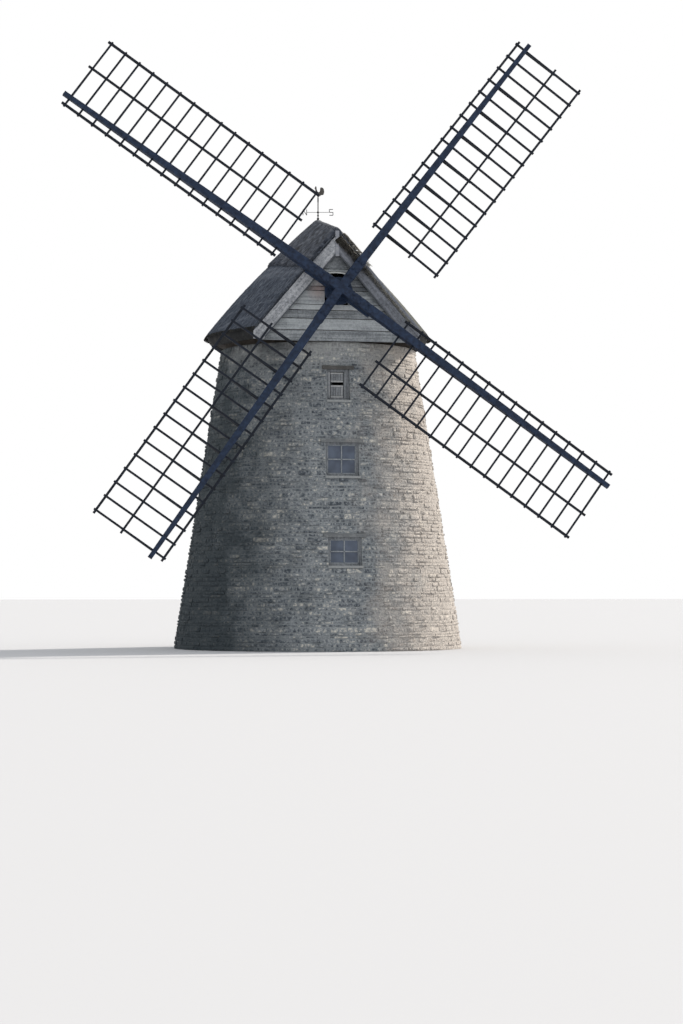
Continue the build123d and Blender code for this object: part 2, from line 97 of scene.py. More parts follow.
def node(material, kind, sockets, **settings):
    """One shader node: settings are its attributes, sockets its inputs as values or as links."""
    made = material.node_tree.nodes.new(kind)
    for name, value in settings.items():
        setattr(made, name, value)
    for place, value in sockets.items():
        if isinstance(value, bpy.types.NodeSocket):
            link(material, value, made.inputs[place])
        else:
            made.inputs[place].default_value = value
    return made


def maths(material, operation, *values, clamp=False):
    """One number worked out from others; MULTIPLY_ADD is the first times the second plus the third."""
    return node(material, "ShaderNodeMath", dict(enumerate(values)), operation=operation,
                use_clamp=clamp).outputs[0]


def noise(material, place, scale, detail, roughness=0.5):
    """Cloudy noise from 0 to 1, with patches 1 / scale metres wide."""
    return node(material, "ShaderNodeTexNoise", {"Vector": place, "Scale": scale, "Detail": detail,
                                                 "Roughness": roughness}).outputs["Fac"]


def span(material, value, low, high, top=1.0, bottom=0.0):
    """A straight line from bottom, where the value is low, to top, where it is high; level outside."""
    return node(material, "ShaderNodeMapRange", {"Value": value, "From Min": low, "From Max": high,
                                                 "To Min": bottom, "To Max": top}).outputs["Result"]


def ramp(material, value, stops):
    """Colour for a value from 0 to 1, by straight lines between stops of (value, hex colour)."""
    made = node(material, "ShaderNodeValToRGB", {"Fac": value})
    elements = made.color_ramp.elements
    while len(elements) < len(stops):
        elements.new(0.5)
    for element, (place, code) in zip(elements, stops):
        element.position = place
        element.color = paint(code)
    return made.outputs["Color"]


def blend(material, share, under, over):
    """Colour (1 - share) * under + share * over."""
    return node(material, "ShaderNodeMix", {0: share, 6: under, 7: over}, data_type="RGBA").outputs[2]


def coordinate(material, place, axis):
    """One coordinate of a place: its X, Y or Z."""
    return node(material, "ShaderNodeSeparateXYZ", {"Vector": place}).outputs[axis]


def stretched(material, place, scale):
    """The place with each coordinate multiplied by its own scale."""
    return node(material, "ShaderNodeMapping", {"Vector": place, "Scale": scale}).outputs["Vector"]


def places(material, system="Object"):
    """Where a point is: in the mill's frame, in metres, or on the piece's UV map."""
    return node(material, "ShaderNodeTexCoord", {}).outputs[system]


def tone_of(material):
    """The tone that each stone, board or stalk carries with its points."""
    return node(material, "ShaderNodeAttribute", {}, attribute_name="tone").outputs["Fac"]


def shader_of(material):
    return material.node_tree.nodes["Principled BSDF"]


def finish(name, roughness, specular=0.5):
    """A new material, still without a colour."""
    material = bpy.data.materials.new(name)
    material.use_nodes = True
    shader_of(material).inputs["Roughness"].default_value = roughness
    shader_of(material).inputs["Specular IOR Level"].default_value = specular
    return material


def complete(material, colour, height=None, distance=0.0, strength=1.0):
    """Give a material its colour, and a bump that shades it as if it rose by distance times height."""
    link(material, colour, shader_of(material).inputs["Base Color"])
    if height:
        bump = node(material, "ShaderNodeBump",
                    {"Height": height, "Distance": distance, "Strength": strength})
        link(material, bump.outputs["Normal"], shader_of(material).inputs["Normal"])
    return material


def dress(names, material):
    """Give nodes of the construction a finish instead of their plain one."""
    for name in names:
        nodes[name].data.materials.clear()
        nodes[name].data.materials.append(material)


# %% Meshes from arrays


def piece(name, points, faces, body, material, slot, smooth=False, **attributes):
    """A mesh from an array of points and arrays of faces, which rides on a body of the mill.

    Each face array holds faces of one size. Every attribute is one number a point.
    """
    points = np.asarray(points, np.float32).reshape(-1, 3)
    sizes = np.concatenate([np.full(len(f), f.shape[1]) for f in faces])
    corners = np.concatenate([f.ravel() for f in faces]).astype(np.int32)
    mesh = bpy.data.meshes.new(name)
    mesh.vertices.add(len(points))
    mesh.vertices.foreach_set("co", points.ravel())
    mesh.loops.add(len(corners))
    mesh.loops.foreach_set("vertex_index", corners)
    mesh.polygons.add(len(sizes))
    mesh.polygons.foreach_set("loop_start", np.concatenate([[0], np.cumsum(sizes)[:-1]]).astype(np.int32))
    mesh.polygons.foreach_set("loop_total", sizes.astype(np.int32))
    mesh.polygons.foreach_set("use_smooth", np.full(len(sizes), smooth))
    mesh.update(calc_edges=True)
    mesh.validate()
    for attribute, values in attributes.items():
        layer = mesh.attributes.new(attribute, "FLOAT", "POINT")
        layer.data.foreach_set("value", np.asarray(values, np.float32).ravel())
    mesh.materials.append(material)
    made = bpy.data.objects.new(name, mesh)
    scene.collection.objects.link(made)
    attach(made, body)
    print(f"{name}: {int((sizes - 2).sum())} triangles")
    return made


def grid_faces(rows, columns):
    """Quads of a tube whose rings are numbered one after the other."""
    row, column = np.meshgrid(np.arange(rows - 1), np.arange(columns), indexing="ij")
    beside = (column + 1) % columns
    quads = [row * columns + column, row * columns + beside,
             (row + 1) * columns + beside, (row + 1) * columns + column]
    return np.stack(quads, -1).reshape(-1, 4)


def tube_faces(rows, columns):
    """Faces of a closed tube: its quads, and one flat face on its first and its last ring."""
    ring = np.arange(columns)[None]
    return [grid_faces(rows, columns), ring[:, ::-1], (rows - 1) * columns + ring]


def repeat_faces(faces, count, stride):
    """The faces of one shape, renumbered for count copies of it with stride points each."""
    return (faces[None] + stride * np.arange(count)[:, None, None]).reshape(-1, faces.shape[1])


def together(shapes):
    """Points and faces of several shapes as one, each shape's faces counted on from the shapes before."""
    points, faces, start = [], [], 0
    for shape, shape_faces in shapes:
        points.append(shape.reshape(-1, 3))
        faces += [start + f for f in shape_faces]
        start += len(points[-1])
    return np.concatenate(points), faces


def spun(points, angle):
    """Points turned about Z: x cos a - y sin a, x sin a + y cos a, and z as it was."""
    x, y, z = np.moveaxis(points, -1, 0)
    sine, cosine = math.sin(angle), math.cos(angle)
    return np.stack([x * cosine - y * sine, x * sine + y * cosine, z], -1)


def ripple(u, v, seed):
    """Smooth noise from -1 to 1: random numbers on whole-number places, eased from one to the next."""
    table = np.random.default_rng(seed).uniform(-1, 1, (256, 256))
    iu, iv = np.floor(u).astype(int), np.floor(v).astype(int)
    fu, fv = u - iu, v - iv
    fu, fv = fu * fu * (3 - 2 * fu), fv * fv * (3 - 2 * fv)
    near = table[iu % 256, iv % 256] * (1 - fu) + table[(iu + 1) % 256, iv % 256] * fu
    far = table[iu % 256, (iv + 1) % 256] * (1 - fu) + table[(iu + 1) % 256, (iv + 1) % 256] * fu
    return near * (1 - fv) + far * fv


# %% [markdown]
# ## Light and floor
#
# A studio stands for the field: a pale floor, an even white room, and one broad warm lamp behind
# the mill's right shoulder, where the sun stood. The room is white to the camera and to gloss, but
# lights the mill at a plain level, so that each colour renders about as it is written.

# %% Light and floor
ROOM_LIGHT = 1.04
SUN_POWER, SUN_WIDTH = 5.0, math.radians(5)
SUN_FROM = Vector((0.80, 0.36, 0.60))
FLOOR_HALF, FLOOR_LEVEL = 300, -0.004

world = bpy.data.worlds.new("studio")
world.use_nodes = True
scene.world = world
rays = node(world, "ShaderNodeLightPath", {}).outputs
bright = maths(world, "MAXIMUM", rays["Is Camera Ray"], rays["Is Glossy Ray"])
bright = maths(world, "MAXIMUM", bright, rays["Is Transmission Ray"])
backdrop = world.node_tree.nodes["Background"]
backdrop.inputs["Color"].default_value = paint("#ffffff")
link(world, span(world, bright, 0.0, 1.0, bottom=ROOM_LIGHT), backdrop.inputs["Strength"])

sun = bpy.data.objects.new("sun", bpy.data.lights.new("sun", "SUN"))
sun.data.energy = SUN_POWER
sun.data.angle = SUN_WIDTH
sun.data.color = paint("#fff6ea")[:3]
sun.rotation_euler = SUN_FROM.to_track_quat("Z", "Y").to_euler()
scene.collection.objects.link(sun)

floor_paint = finish("pale_floor", 0.95, 0.1)
shader_of(floor_paint).inputs["Base Color"].default_value = paint("#b0b2b6")
floor_mesh = bpy.data.meshes.new("studio_floor")
floor_mesh.from_pydata([(x * FLOOR_HALF, y * FLOOR_HALF, FLOOR_LEVEL)
                        for x, y in ((-1, -1), (1, -1), (1, 1), (-1, 1))], [], [(0, 1, 2, 3)])
floor_mesh.materials.append(floor_paint)
studio_floor = bpy.data.objects.new("studio_floor", floor_mesh)
scene.collection.objects.link(studio_floor)

scene.view_settings.view_transform = "Standard"
print("sun from", [round(v, 2) for v in SUN_FROM])

# %% [markdown]
# ## Blue lias, the stone of the wall
#
# Lias is a fine-grained grey limestone that splits into thin beds, so a mason lays it in low
# courses without much dressing. It weathers from blue-grey to buff, with pale crusts of lichen a
# few centimetres wide. Over that, light and shade are painted: painted shade, dark green-grey, on
# the -X side, painted sunlight, a speckled pale warm grey, on the +X side, and painted light in a
# band under the eave. One number for each stone, its `tone`, picks its colour.

# %% Stone, mortar and dressed stone
# Each band, of painted light, painted shade or stain, by height or by X: where it begins, where it is full,
# and its share of the colour there
EAVE_LIGHT_BAND, BROWN_HEAD = (7.3, 8.0, 0.42), (7.0, 7.1, 0.75)
SHADE_SIDE, PAINTED_SUN_SIDE = (-0.8, -2.9, 0.88), (0.4, 2.2, 0.64)
HOLLOW_SCALE, HOLLOW_DEPTH = 28.0, 0.040


def weathered_stone(name, stops, blotch, contrast):
    """Stone whose colour comes from each stone's tone, with lichen blotches, painted shade on the -X side,
    painted sunlight on the +X side and painted light under the eave.
    """
    material = finish(name, 0.95, 0.15)
    place = places(material)
    crusts = span(material, noise(material, place, 1 / blotch, 4.0, 0.62), 0.3, 0.7, contrast, -contrast)
    colour = ramp(material, maths(material, "ADD", tone_of(material), crusts, clamp=True), stops)

    # Drift of the painted light and shade round the tower: metres across, broken by noise about 0.6 m wide
    drift = maths(material, "MULTIPLY_ADD", noise(material, place, 1.6, 5.0), 2.6, -1.3)
    broken = maths(material, "ADD", coordinate(material, place, "X"), drift)

    # Painted light: the last half metre under the eave is lifted towards pale grey, against the shade there
    ragged = maths(material, "MULTIPLY_ADD", drift, 0.35, coordinate(material, place, "Z"))
    colour = blend(material, span(material, ragged, *EAVE_LIGHT_BAND), colour, paint("#c2c2bf"))

    # Painted shade, dark green-grey, on the -X side, and painted sunlight, speckled pale warm grey, on the +X
    # side
    colour = blend(material, span(material, broken, *SHADE_SIDE), colour, paint("#2d353a"))
    grain = noise(material, place, HOLLOW_SCALE, 7.0, 0.65)
    # The speckled pale warm grey is painted sunlight, on the same grain that gives the hollows
    painted_sunlight = ramp(material, grain, [(0.38, "#857e78"), (0.57, "#dcd1c6")])
    colour = blend(material, span(material, broken, *PAINTED_SUN_SIDE), colour, painted_sunlight)

    # Hollows 35 mm wide on the face of the stone, up to 40 mm deep, coarse enough to show from the field
    return complete(material, colour, grain, HOLLOW_DEPTH)


lias = weathered_stone("blue_lias", [(0.0, "#464c53"), (0.3, "#6a7076"), (0.5, "#80868b"), (0.7, "#929698"),
                                     (0.88, "#a9a9a5"), (1.0, "#c4c2bb")], 0.07, 0.55)
mortar = weathered_stone("lime_mortar", [(0.0, "#80868a"), (0.5, "#9da1a3"), (1.0, "#b8b9b6")], 0.05, 0.5)
dressed = weathered_stone("dressed_sill", [(0.0, "#8f9395"), (0.5, "#a4a7a7"), (1.0, "#b9b9b4")], 0.09, 0.4)
lintel_stone = weathered_stone("stained_lintel", [(0.0, "#6d7174"), (0.5, "#868a8c"), (1.0, "#9c9f9f")],
                               0.12, 0.5)

# The hatch's head, above 7 m, carries a brown stain that the heads of the windows don't have
clean = shader_of(lintel_stone).inputs["Base Color"].links[0].from_socket
stain = span(lintel_stone, coordinate(lintel_stone, places(lintel_stone), "Z"), *BROWN_HEAD)
complete(lintel_stone, blend(lintel_stone, stain, clean, paint("#46433f")))

dress([name for name in nodes if "_wall" in name], mortar)
dress(["lintels"], lintel_stone)
dress(["sills", "ground_floor"], dressed)
print("stone finishes:", lias.name, mortar.name, dressed.name)

# %% [markdown]
# ## The wall, stone by stone
#
# The construction model has the wall as smooth sectors, which now serve as the mortar. Each stone is
# a pillow with chopped corners, standing a few millimetres proud. A mason sets the beds so that
# they meet the sills and heads of the openings, so the courses are worked out the same way: the
# heights of the openings come first, and courses of 65 to 145 mm fill the spaces between.

# %% Heights of the courses
BASE_RADIUS, BATTER, WALL_HEIGHT = 3.9, 0.1575, 8.075
BED_JOINT, END_JOINT, BED_DRIFT = 0.020, 0.016, 0.012
COURSE, STONE_LENGTH = 0.104, 0.26

# Openings: side (-1 front, 1 rear), left edge, right edge, foot, head, as the construction has them
HATCH = (-1, -0.265, 0.345, 6.535, 7.345)
UPPER_WINDOW, LOWER_WINDOW = (-1, -0.35, 0.53, 4.535, 5.415), (-1, -0.35, 0.53, 2.2, 2.94)
REAR_WINDOW, DOOR = (1, -0.35, 0.53, 4.535, 5.415), (1, -0.47, 0.47, 0.1, 1.9)
OPENINGS = [HATCH, UPPER_WINDOW, LOWER_WINDOW, REAR_WINDOW, DOOR]
LINTEL_HEIGHT, LINTEL_BEARING = 0.095, 0.115
SILL_HEIGHT, SILL_BEARING = 0.06, 0.02

rng = np.random.default_rng(11)
levels = {round(z, 4) for _, _, _, foot, head in OPENINGS
          for z in (foot, foot - SILL_HEIGHT, head, head + LINTEL_HEIGHT) if z > 0.05}
fixed = sorted({0.0, WALL_HEIGHT} | levels)
beds = [0.0]
for low, high in zip(fixed, fixed[1:]):
    steps = rng.uniform(0.62, 1.38, max(1, round((high - low) / COURSE)))
    beds += list(low + (high - low) * np.cumsum(steps) / steps.sum())
beds = np.array(beds)
print("courses:", len(beds) - 1, "mean height", round(float(np.diff(beds).mean()) * 1000), "mm")

# %% [markdown]
# Each course is a ring. Where it passes an opening, a head or a sill, that stretch is left out, and
# the stones fill what remains with lengths of 90 to 450 mm. A bed is never quite level: it rises
# and falls by a centimetre round the tower.

# %% Stones of each course


def wall_radius(z):
    """Radius of the battered wall: the radius at the ground less the batter times the height."""
    return BASE_RADIUS - BATTER * z


def taken(z0, z1):
    """Stretches of a course that openings, heads and sills take, as pairs of angles from -Y towards +X."""
    radius = wall_radius((z0 + z1) / 2)
    spans = []
    for side, left, right, foot, head in OPENINGS:
        for low, high, spare in ((foot, head, 0.0), (head, head + LINTEL_HEIGHT, LINTEL_BEARING),
                                 (foot - SILL_HEIGHT, foot, SILL_BEARING)):
            if z0 < high - 0.001 and z1 > low + 0.001:
                a, b = math.asin((left - spare) / radius), math.asin((right + spare) / radius)
                spans.append((a, b) if side < 0 else (math.pi - b, math.pi - a))
    return sorted(spans)


def course(z0, z1):
    """Left and right angles of the stones of one course, between the stretches that are taken."""
    spans = taken(z0, z1)
    if spans:
        runs = [(a[1], b[0]) for a, b in zip(spans, spans[1:])] + [(spans[-1][1], spans[0][0] + 2 * math.pi)]
    else:
        start = rng.uniform(0, 1)
        runs = [(start, start + 2 * math.pi)]
    edges = []
    for start, stop in runs:
        length = (stop - start) * wall_radius((z0 + z1) / 2)
        widths = rng.uniform(0.10, 0.50, max(1, round(length / STONE_LENGTH)))
        cuts = start + (stop - start) * np.concatenate([[0], np.cumsum(widths)]) / widths.sum()
        edges.append(np.stack([cuts[:-1], cuts[1:]], -1))
    edges = np.concatenate(edges)
    return np.column_stack([edges, np.full(len(edges), z0), np.full(len(edges), z1)])


stones = np.concatenate([course(z0, z1) for z0, z1 in zip(beds, beds[1:])])
print("stones:", len(stones), "mean length",
      round(float(((stones[:, 1] - stones[:, 0]) * wall_radius(stones[:, 2])).mean()) * 1000), "mm")

# %% [markdown]
# One function makes any number of pillows at once. A pillow has three rings of eight points, behind
# the mortar's face, at the arris and on the face, and one point in the middle that stands a little
# higher. The outline is jittered so that no two stones are alike.

# %% Pillow-faced stones
PILLOW_POINTS = 25
BACK, ARRIS, FACE_INSET, FACE_LEAN = 0.018, 0.006, 0.014, 0.009


def pillows(centre, across, up, out, half_width, half_height, proud, seed, corner=0.020):
    """Points and faces of pillow stones.

    Each stone is an eight-sided outline with chopped corners in the plane of across and up; the
    rings lie 18 mm back, at proud less 6 mm and at proud, and the middle point is up to 12 mm higher.
    """
    dice = np.random.default_rng(seed)
    count = len(centre)
    w, h, proud = half_width[:, None], half_height[:, None], proud[:, None]
    chop = np.minimum(corner * dice.uniform(0.5, 1.5, (count, 8)), 0.45 * np.minimum(w, h))
    side_x = np.array([-1, -1, 1, 1, 1, 1, -1, -1])
    side_z = np.array([-1, -1, -1, -1, 1, 1, 1, 1])
    chopped_x = np.array([0, 1, 1, 0, 0, 1, 1, 0])
    x = side_x * (w - chopped_x * chop - dice.uniform(0, 0.010, (count, 8)))
    z = side_z * (h - (1 - chopped_x) * chop - dice.uniform(0, 0.008, (count, 8)))
    tilt_x, tilt_z = dice.normal(0, 0.07, (2, count, 1))
    face = proud + np.clip(tilt_x * x + tilt_z * z, -FACE_LEAN, FACE_LEAN) * np.minimum(1, proud / 0.012)
    uneven = dice.uniform(-0.003, 0.003, (count, 8)) * np.minimum(1, proud / 0.008)
    rings = [(x, z, np.full_like(x, -BACK)), (x, z, face - ARRIS),
             (x - side_x * FACE_INSET, z - side_z * FACE_INSET * 0.8, face + uneven),
             (dice.uniform(-0.4, 0.4, (count, 1)) * w, dice.uniform(-0.3, 0.3, (count, 1)) * h,
              proud * dice.uniform(1.1, 1.7, (count, 1)))]
    px, pz, depth = (np.concatenate([ring[k] for ring in rings], 1)[..., None] for k in range(3))
    points = centre[:, None] + across[:, None] * px + up[:, None] * pz + out[:, None] * depth
    fan = np.stack([16 + np.arange(8), 16 + (np.arange(8) + 1) % 8, np.full(8, 24)], -1)
    return points, [repeat_faces(f, count, PILLOW_POINTS) for f in (grid_faces(3, 8), fan)]


angle = stones[:, :2].mean(1)
middle_z = stones[:, 2:].mean(1)
away = np.abs(middle_z[:, None] - np.array(fixed)[None]).min(1)
middle_z = middle_z + BED_DRIFT * ripple(angle * 5, middle_z / 0.6, 12) * np.clip(away / 0.25 - 0.3, 0, 1)
radius = wall_radius(middle_z)
lean = math.atan(BATTER)
sine, cosine = np.sin(angle), -np.cos(angle)
centre = np.stack([radius * sine, radius * cosine, middle_z], -1)
across = np.stack([-cosine, sine, np.zeros_like(sine)], -1)
up = np.stack([-sine * math.sin(lean), -cosine * math.sin(lean), np.full_like(sine, math.cos(lean))], -1)
out = np.cross(across, up)
half_width = (stones[:, 1] - stones[:, 0]) * radius / 2 - END_JOINT / 2
half_height = (stones[:, 3] - stones[:, 2]) / 2 - BED_JOINT / 2
proud = 0.003 + 0.026 * rng.random(len(stones)) ** 2.2
# Most stones are mid grey, and about one in seventeen is much paler
tone = np.clip(0.44 + 0.12 * rng.standard_normal(len(stones)) + 0.28 * (rng.random(len(stones)) > 0.94), 0, 1)

for number, side in enumerate(("front", "right", "rear", "left")):
    pick = ((angle - (2 * number - 1) * math.pi / 4) % (2 * math.pi)) < math.pi / 2
    points, faces = pillows(centre[pick], across[pick], up[pick], out[pick], half_width[pick],
                            half_height[pick], proud[pick], seed=20 + number)
    piece(f"{side}_stones", points, faces, "tower", lias, "lias_stone",
          tone=np.repeat(tone[pick], PILLOW_POINTS))

# %% [markdown]
# The sides of each opening show stone too, back to the frame. These are the ends of the stones at
# the jambs: pillows turned to face into the opening, one for each course.

# %% Jamb stones
WINDOW_REVEAL, DOOR_REVEAL = 0.07, 0.26

spots, facing, sizes = [], [], []
for opening in OPENINGS:
    side, left, right, foot, head = opening
    inside = (beds[:-1] >= foot - 0.001) & (beds[1:] <= head + 0.001)
    frame_face = wall_radius(head) - (DOOR_REVEAL if opening == DOOR else WINDOW_REVEAL)
    for x, inwards in ((left, 1.0), (right, -1.0)):
        for z0, z1 in zip(beds[:-1][inside], beds[1:][inside]):
            middle = (z0 + z1) / 2
            face = math.sqrt(wall_radius(middle) ** 2 - x * x) - 0.004
            spots.append((x, side * (face + frame_face) / 2, middle))
            facing.append((inwards, 0.0, 0.0))
            sizes.append(((face - frame_face) / 2 - 0.003, (z1 - z0) / 2 - BED_JOINT / 2))
spots, facing, sizes = np.array(spots), np.array(facing), np.array(sizes)
upright = np.tile([0.0, 0.0, 1.0], (len(spots), 1))
points, faces = pillows(spots, np.cross(upright, facing), upright, facing, sizes[:, 0], sizes[:, 1],
                        rng.uniform(0.001, 0.003, len(spots)), seed=31, corner=0.008)
piece("jamb_stones", points, faces, "tower", lias, "lias_stone",
      tone=np.repeat(np.clip(rng.normal(0.38, 0.12, len(spots)), 0, 1), PILLOW_POINTS))

# %% [markdown]
# ## Straw
#
# The cap is thatched: bundles of straw laid from the eave upwards and trimmed, grey after a few
# winters. What the eye gets is fine streaks down the slope, a thick cut edge at the eave, and a
# ridge of newer straw wrapped over the top. The streaks run in the piece's own UV map, which is in
# metres: across the straw in u, along it in v.

# %% Straw finishes
PAINTED_SUN_SLOPE = (0.25, 1.5)


def straw(name, dark, middle, pale, system="UV", streak=2.2, mottle=(5.0, 1.1), sun_share=0.72):
    """Weathered straw: streaks 24 mm wide and 1 / streak metres long, and mottle of (scale, strength)."""
    material = finish(name, 0.88, 0.3)
    place = places(material, system)
    streaks = noise(material, stretched(material, place, (42.0, streak, streak)), 1.0, 5.0, 0.65)
    total = maths(material, "MULTIPLY_ADD", streaks, 1.5, tone_of(material))
    total = maths(material, "MULTIPLY_ADD", noise(material, place, mottle[0], 5.0), mottle[1], total)
    total = maths(material, "SUBTRACT", total, 0.75 + mottle[1] / 2, clamp=True)
    colour = ramp(material, total, [(0.0, dark), (0.5, middle), (1.0, pale)])

    # Painted sunlight: the side towards +X, which lies in the sun, is lifted towards pale grey, from the
    # first X on and fully at the second
    sun_lift = span(material, coordinate(material, places(material), "X"), *PAINTED_SUN_SLOPE, sun_share)
    colour = blend(material, sun_lift, colour, paint("#8c8b82"))
    fine = noise(material, stretched(material, place, (150.0, 5.0, 5.0)), 1.0, 3.0)
    return complete(material, colour, fine, 0.008, 0.7)


coat_straw = straw("weathered_straw", "#262a32", "#464d59", "#6f767f")
ridge_straw = straw("ridge_straw", "#15181d", "#333944", "#5a5e66", streak=11.0, mottle=(12.0, 2.4))
# Painted light: these stalks are far paler than the coat, so that they read mid grey in the shade where they
# hang at the gable
frayed_straw_painted_light = straw("frayed_straw_painted_light", "#54565a", "#95938f", "#c4bfb4", mottle=(9.0, 1.6))
# Painted shade: the cut ends and the underside, somewhat darker in themselves, are darkened nearly to black
# for the shade under the eave
shaded_straw_ends = straw("straw_ends_painted_shade", "#0e0f11", "#1d1f21", "#3c3b37", system="Object", sun_share=0.0)
print("straw finishes made")

# %% [markdown]
# ## The shape of the cap
#
# The cap's cross-section is a steep triangle with slightly bulging sides. It sweeps forward from the
# tower's axis to the gable, getting narrower and lower, and turns round the axis at the rear. One
# function gives any point of it from three numbers: `run`, metres along the eave from the right
# gable corner round the back to the left one; `share`, from 0 at the eave to 1 at the ridge; and
# `rise`, metres out from the surface.

# %% Points of the cap
VERGE = 2.8
REAR_HALF, VERGE_HALF = 3.09, 2.18
EAVE, RIDGE, BULGE = 8.41, 11.58, 0.13
EAVE_FALL, RIDGE_FALL, BULGE_LOSS = 0.03, 0.63, 0.105
THATCH, EAVE_ROUND, VERGE_ROUND = 0.36, 0.22, 0.07
EAVE_LENGTH = 2 * VERGE + math.pi * REAR_HALF


def ahead(run):
    """Distance in front of the tower's axis at a place along the eave, 0 all round the rear."""
    return np.maximum(VERGE - np.minimum(run, EAVE_LENGTH - run), 0.0)


def section(distance):
    """Half-width, eave, ridge height and bulge at a distance in front of the axis.

    The half-width falls with the distance to the power 1.5, which rounds the plan's front corners;
    the heights run straight from the axis to the gable.
    """
    share = np.clip(distance / VERGE, 0, 1)
    half = REAR_HALF + (VERGE_HALF - REAR_HALF) * share ** 1.5
    return half, EAVE - EAVE_FALL * share, RIDGE - RIDGE_FALL * share, BULGE - BULGE_LOSS * share


def lining(half, eave, apex):
    """Half-width, eave and ridge height of the thatch's underside, one thickness in from the slope."""
    pitch = np.arctan2(apex - eave, half)
    return half - THATCH * np.sin(pitch), eave - THATCH * np.cos(pitch), apex - THATCH / np.cos(pitch)


def on_slope(run, share, rise, bulging=1.0):
    """Radius and height on the slope: a straight line, plus rise and a parabola of bulge square to it."""
    half, eave, apex, bulge = section(ahead(run))
    pitch = np.arctan2(apex - eave, half)
    lift = rise + 4 * bulge * share * (1 - share) * bulging
    return half * (1 - share) + lift * np.sin(pitch), eave + (apex - eave) * share + lift * np.cos(pitch)


def swept(run, radius, height):
    """Points in the mill's frame: straight along the front part, then round the axis at the rear."""
    turn = np.clip((run - VERGE) / REAR_HALF, 0, math.pi)
    distance = ahead(run)
    y = np.where(distance > 0, -distance, radius * np.sin(turn))
    return np.stack([radius * np.cos(turn), y, height + 0 * radius], -1)


def cap_point(run, share, rise=0.0, depth=0.0):
    """Point on the cap; depth from 0 to 1 goes from the outer face through the thatch to its underside."""
    radius, height = on_slope(run, share, rise, 1 - depth)
    half_in, eave_in, apex_in = lining(*section(ahead(run))[:3])
    radius = radius * (1 - depth) + half_in * (1 - share) * depth
    height = height * (1 - depth) + (eave_in + (apex_in - eave_in) * share) * depth
    return swept(run, radius, height)


def verge_drop(run):
    """Fall of the surface at the gable, in metres: a quarter circle, R - sqrt(R^2 - (R - distance)^2)."""
    short = VERGE_ROUND - np.minimum(np.minimum(run, EAVE_LENGTH - run), VERGE_ROUND)
    return VERGE_ROUND - np.sqrt(VERGE_ROUND ** 2 - short ** 2)


def stations(count):
    """Places along the eave, close together where the surface rounds at the gable, as a column."""
    corner = VERGE_ROUND * (1 - np.cos(np.linspace(0, math.pi / 2, 8)))
    between = np.linspace(VERGE_ROUND, EAVE_LENGTH - VERGE_ROUND, count)[1:-1]
    return np.concatenate([corner, between, EAVE_LENGTH - corner[::-1]])[:, None]


def straw_uv(made, u, v):
    """Lay a UV map in metres over a piece: u across the straw, v along it, one of each a point."""
    loops = np.zeros(len(made.data.loops), np.int32)
    made.data.loops.foreach_get("vertex_index", loops)
    layer = made.data.uv_layers.new(name="straw")
    pairs = np.stack([u.ravel()[loops], v.ravel()[loops]], -1)
    layer.data.foreach_set("uv", pairs.astype(np.float32).ravel())


print("eave from corner to corner:", round(EAVE_LENGTH, 2), "m")

# %% [markdown]
# ## The thatch
#
# The coat is one closed shell: the outer slope, the cut edge at the eave, the underside, and a flat
# end at each side of the gable. The slope gets its relief from three ripples of different widths,
# stretched along the straw, and from low steps where one layer of bundles ends on the next.

# %% Thatch coat
RUNS, SHARES, TURNS, CUTS, UNDERS = 620, 64, 6, 5, 10
SLOPE_LENGTH = 4.4
LAYER, LAYER_STEP = 0.4, 0.007


def straw_relief(run, share, seed):
    """Relief of a thatched slope in metres: ripples 70, 220 and 900 mm wide, and a 7 mm step each 0.4 m."""
    along = share * SLOPE_LENGTH
    across = run * np.maximum(1 - share, 0.1)
    relief = (0.007 * ripple(run / 0.07, along / 0.9, seed)
              + 0.010 * ripple(across / 0.22, along / 1.3, seed + 1)
              + 0.016 * ripple(across / 0.9, along / 1.1, seed + 2))
    wave = along / LAYER + 0.25 * ripple(across / 0.5, along * 0, seed + 3)
    return relief - LAYER_STEP * (wave - np.floor(wave))


run = stations(RUNS)
drop = verge_drop(run) / THATCH
slope = np.linspace(1, EAVE_ROUND / SLOPE_LENGTH, SHARES)[None]
fade = np.clip((1 - slope) * 12, 0, 1)
outer = cap_point(run, slope, fade * straw_relief(run, slope, 40), drop)

# A quarter circle joins the slope to the cut face: share falls with the sine, depth grows with the versine
bend = np.linspace(0, math.pi / 2, TURNS + 1)[None, 1:]
bent_share = EAVE_ROUND / SLOPE_LENGTH * (1 - np.sin(bend))
bent_depth = EAVE_ROUND / THATCH * (1 - np.cos(bend))
corner = cap_point(run, bent_share, straw_relief(run, bent_share, 40) * np.cos(bend),
                   bent_depth + drop * (1 - bent_depth))
cut = np.linspace(EAVE_ROUND / THATCH, 1, CUTS + 2)[None, 1:-1]
edge = cap_point(run, 0 * cut, 0.0, cut + drop * (1 - cut))
edge[..., 2] -= 0.012 * ripple(run / 0.05, cut * 9, 44) + 0.02 * ripple(run / 0.6, cut, 45)
under = cap_point(run, np.linspace(0, 1, UNDERS)[None], 0.0, 1.0)
shell = np.concatenate([outer, corner, edge, under], 1)
rows, columns = shell.shape[:2]
coat = piece("thatch_coat", shell, tube_faces(rows, columns), "cap", coat_straw, "thatch", smooth=True,
             tone=np.full(rows * columns, 0.46))
coat.data.materials.append(shaded_straw_ends)
profile = np.concatenate([slope[0] * SLOPE_LENGTH, bent_share[0] * SLOPE_LENGTH - bent_depth[0] * 0.1,
                          -0.06 * np.arange(1, CUTS + 1), np.linspace(-0.5, -4, UNDERS)])
straw_uv(coat, np.repeat(run, columns, 1), np.repeat(profile[None], rows, 0))

# The faces that look downwards, the cut edge and the underside, get the straw ends with painted shade
normals = np.zeros(len(coat.data.polygons) * 3, np.float32)
coat.data.polygons.foreach_get("normal", normals)
coat.data.polygons.foreach_set("material_index", (normals[2::3] < -0.15).astype(np.int32))
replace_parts(coat, "thatch")

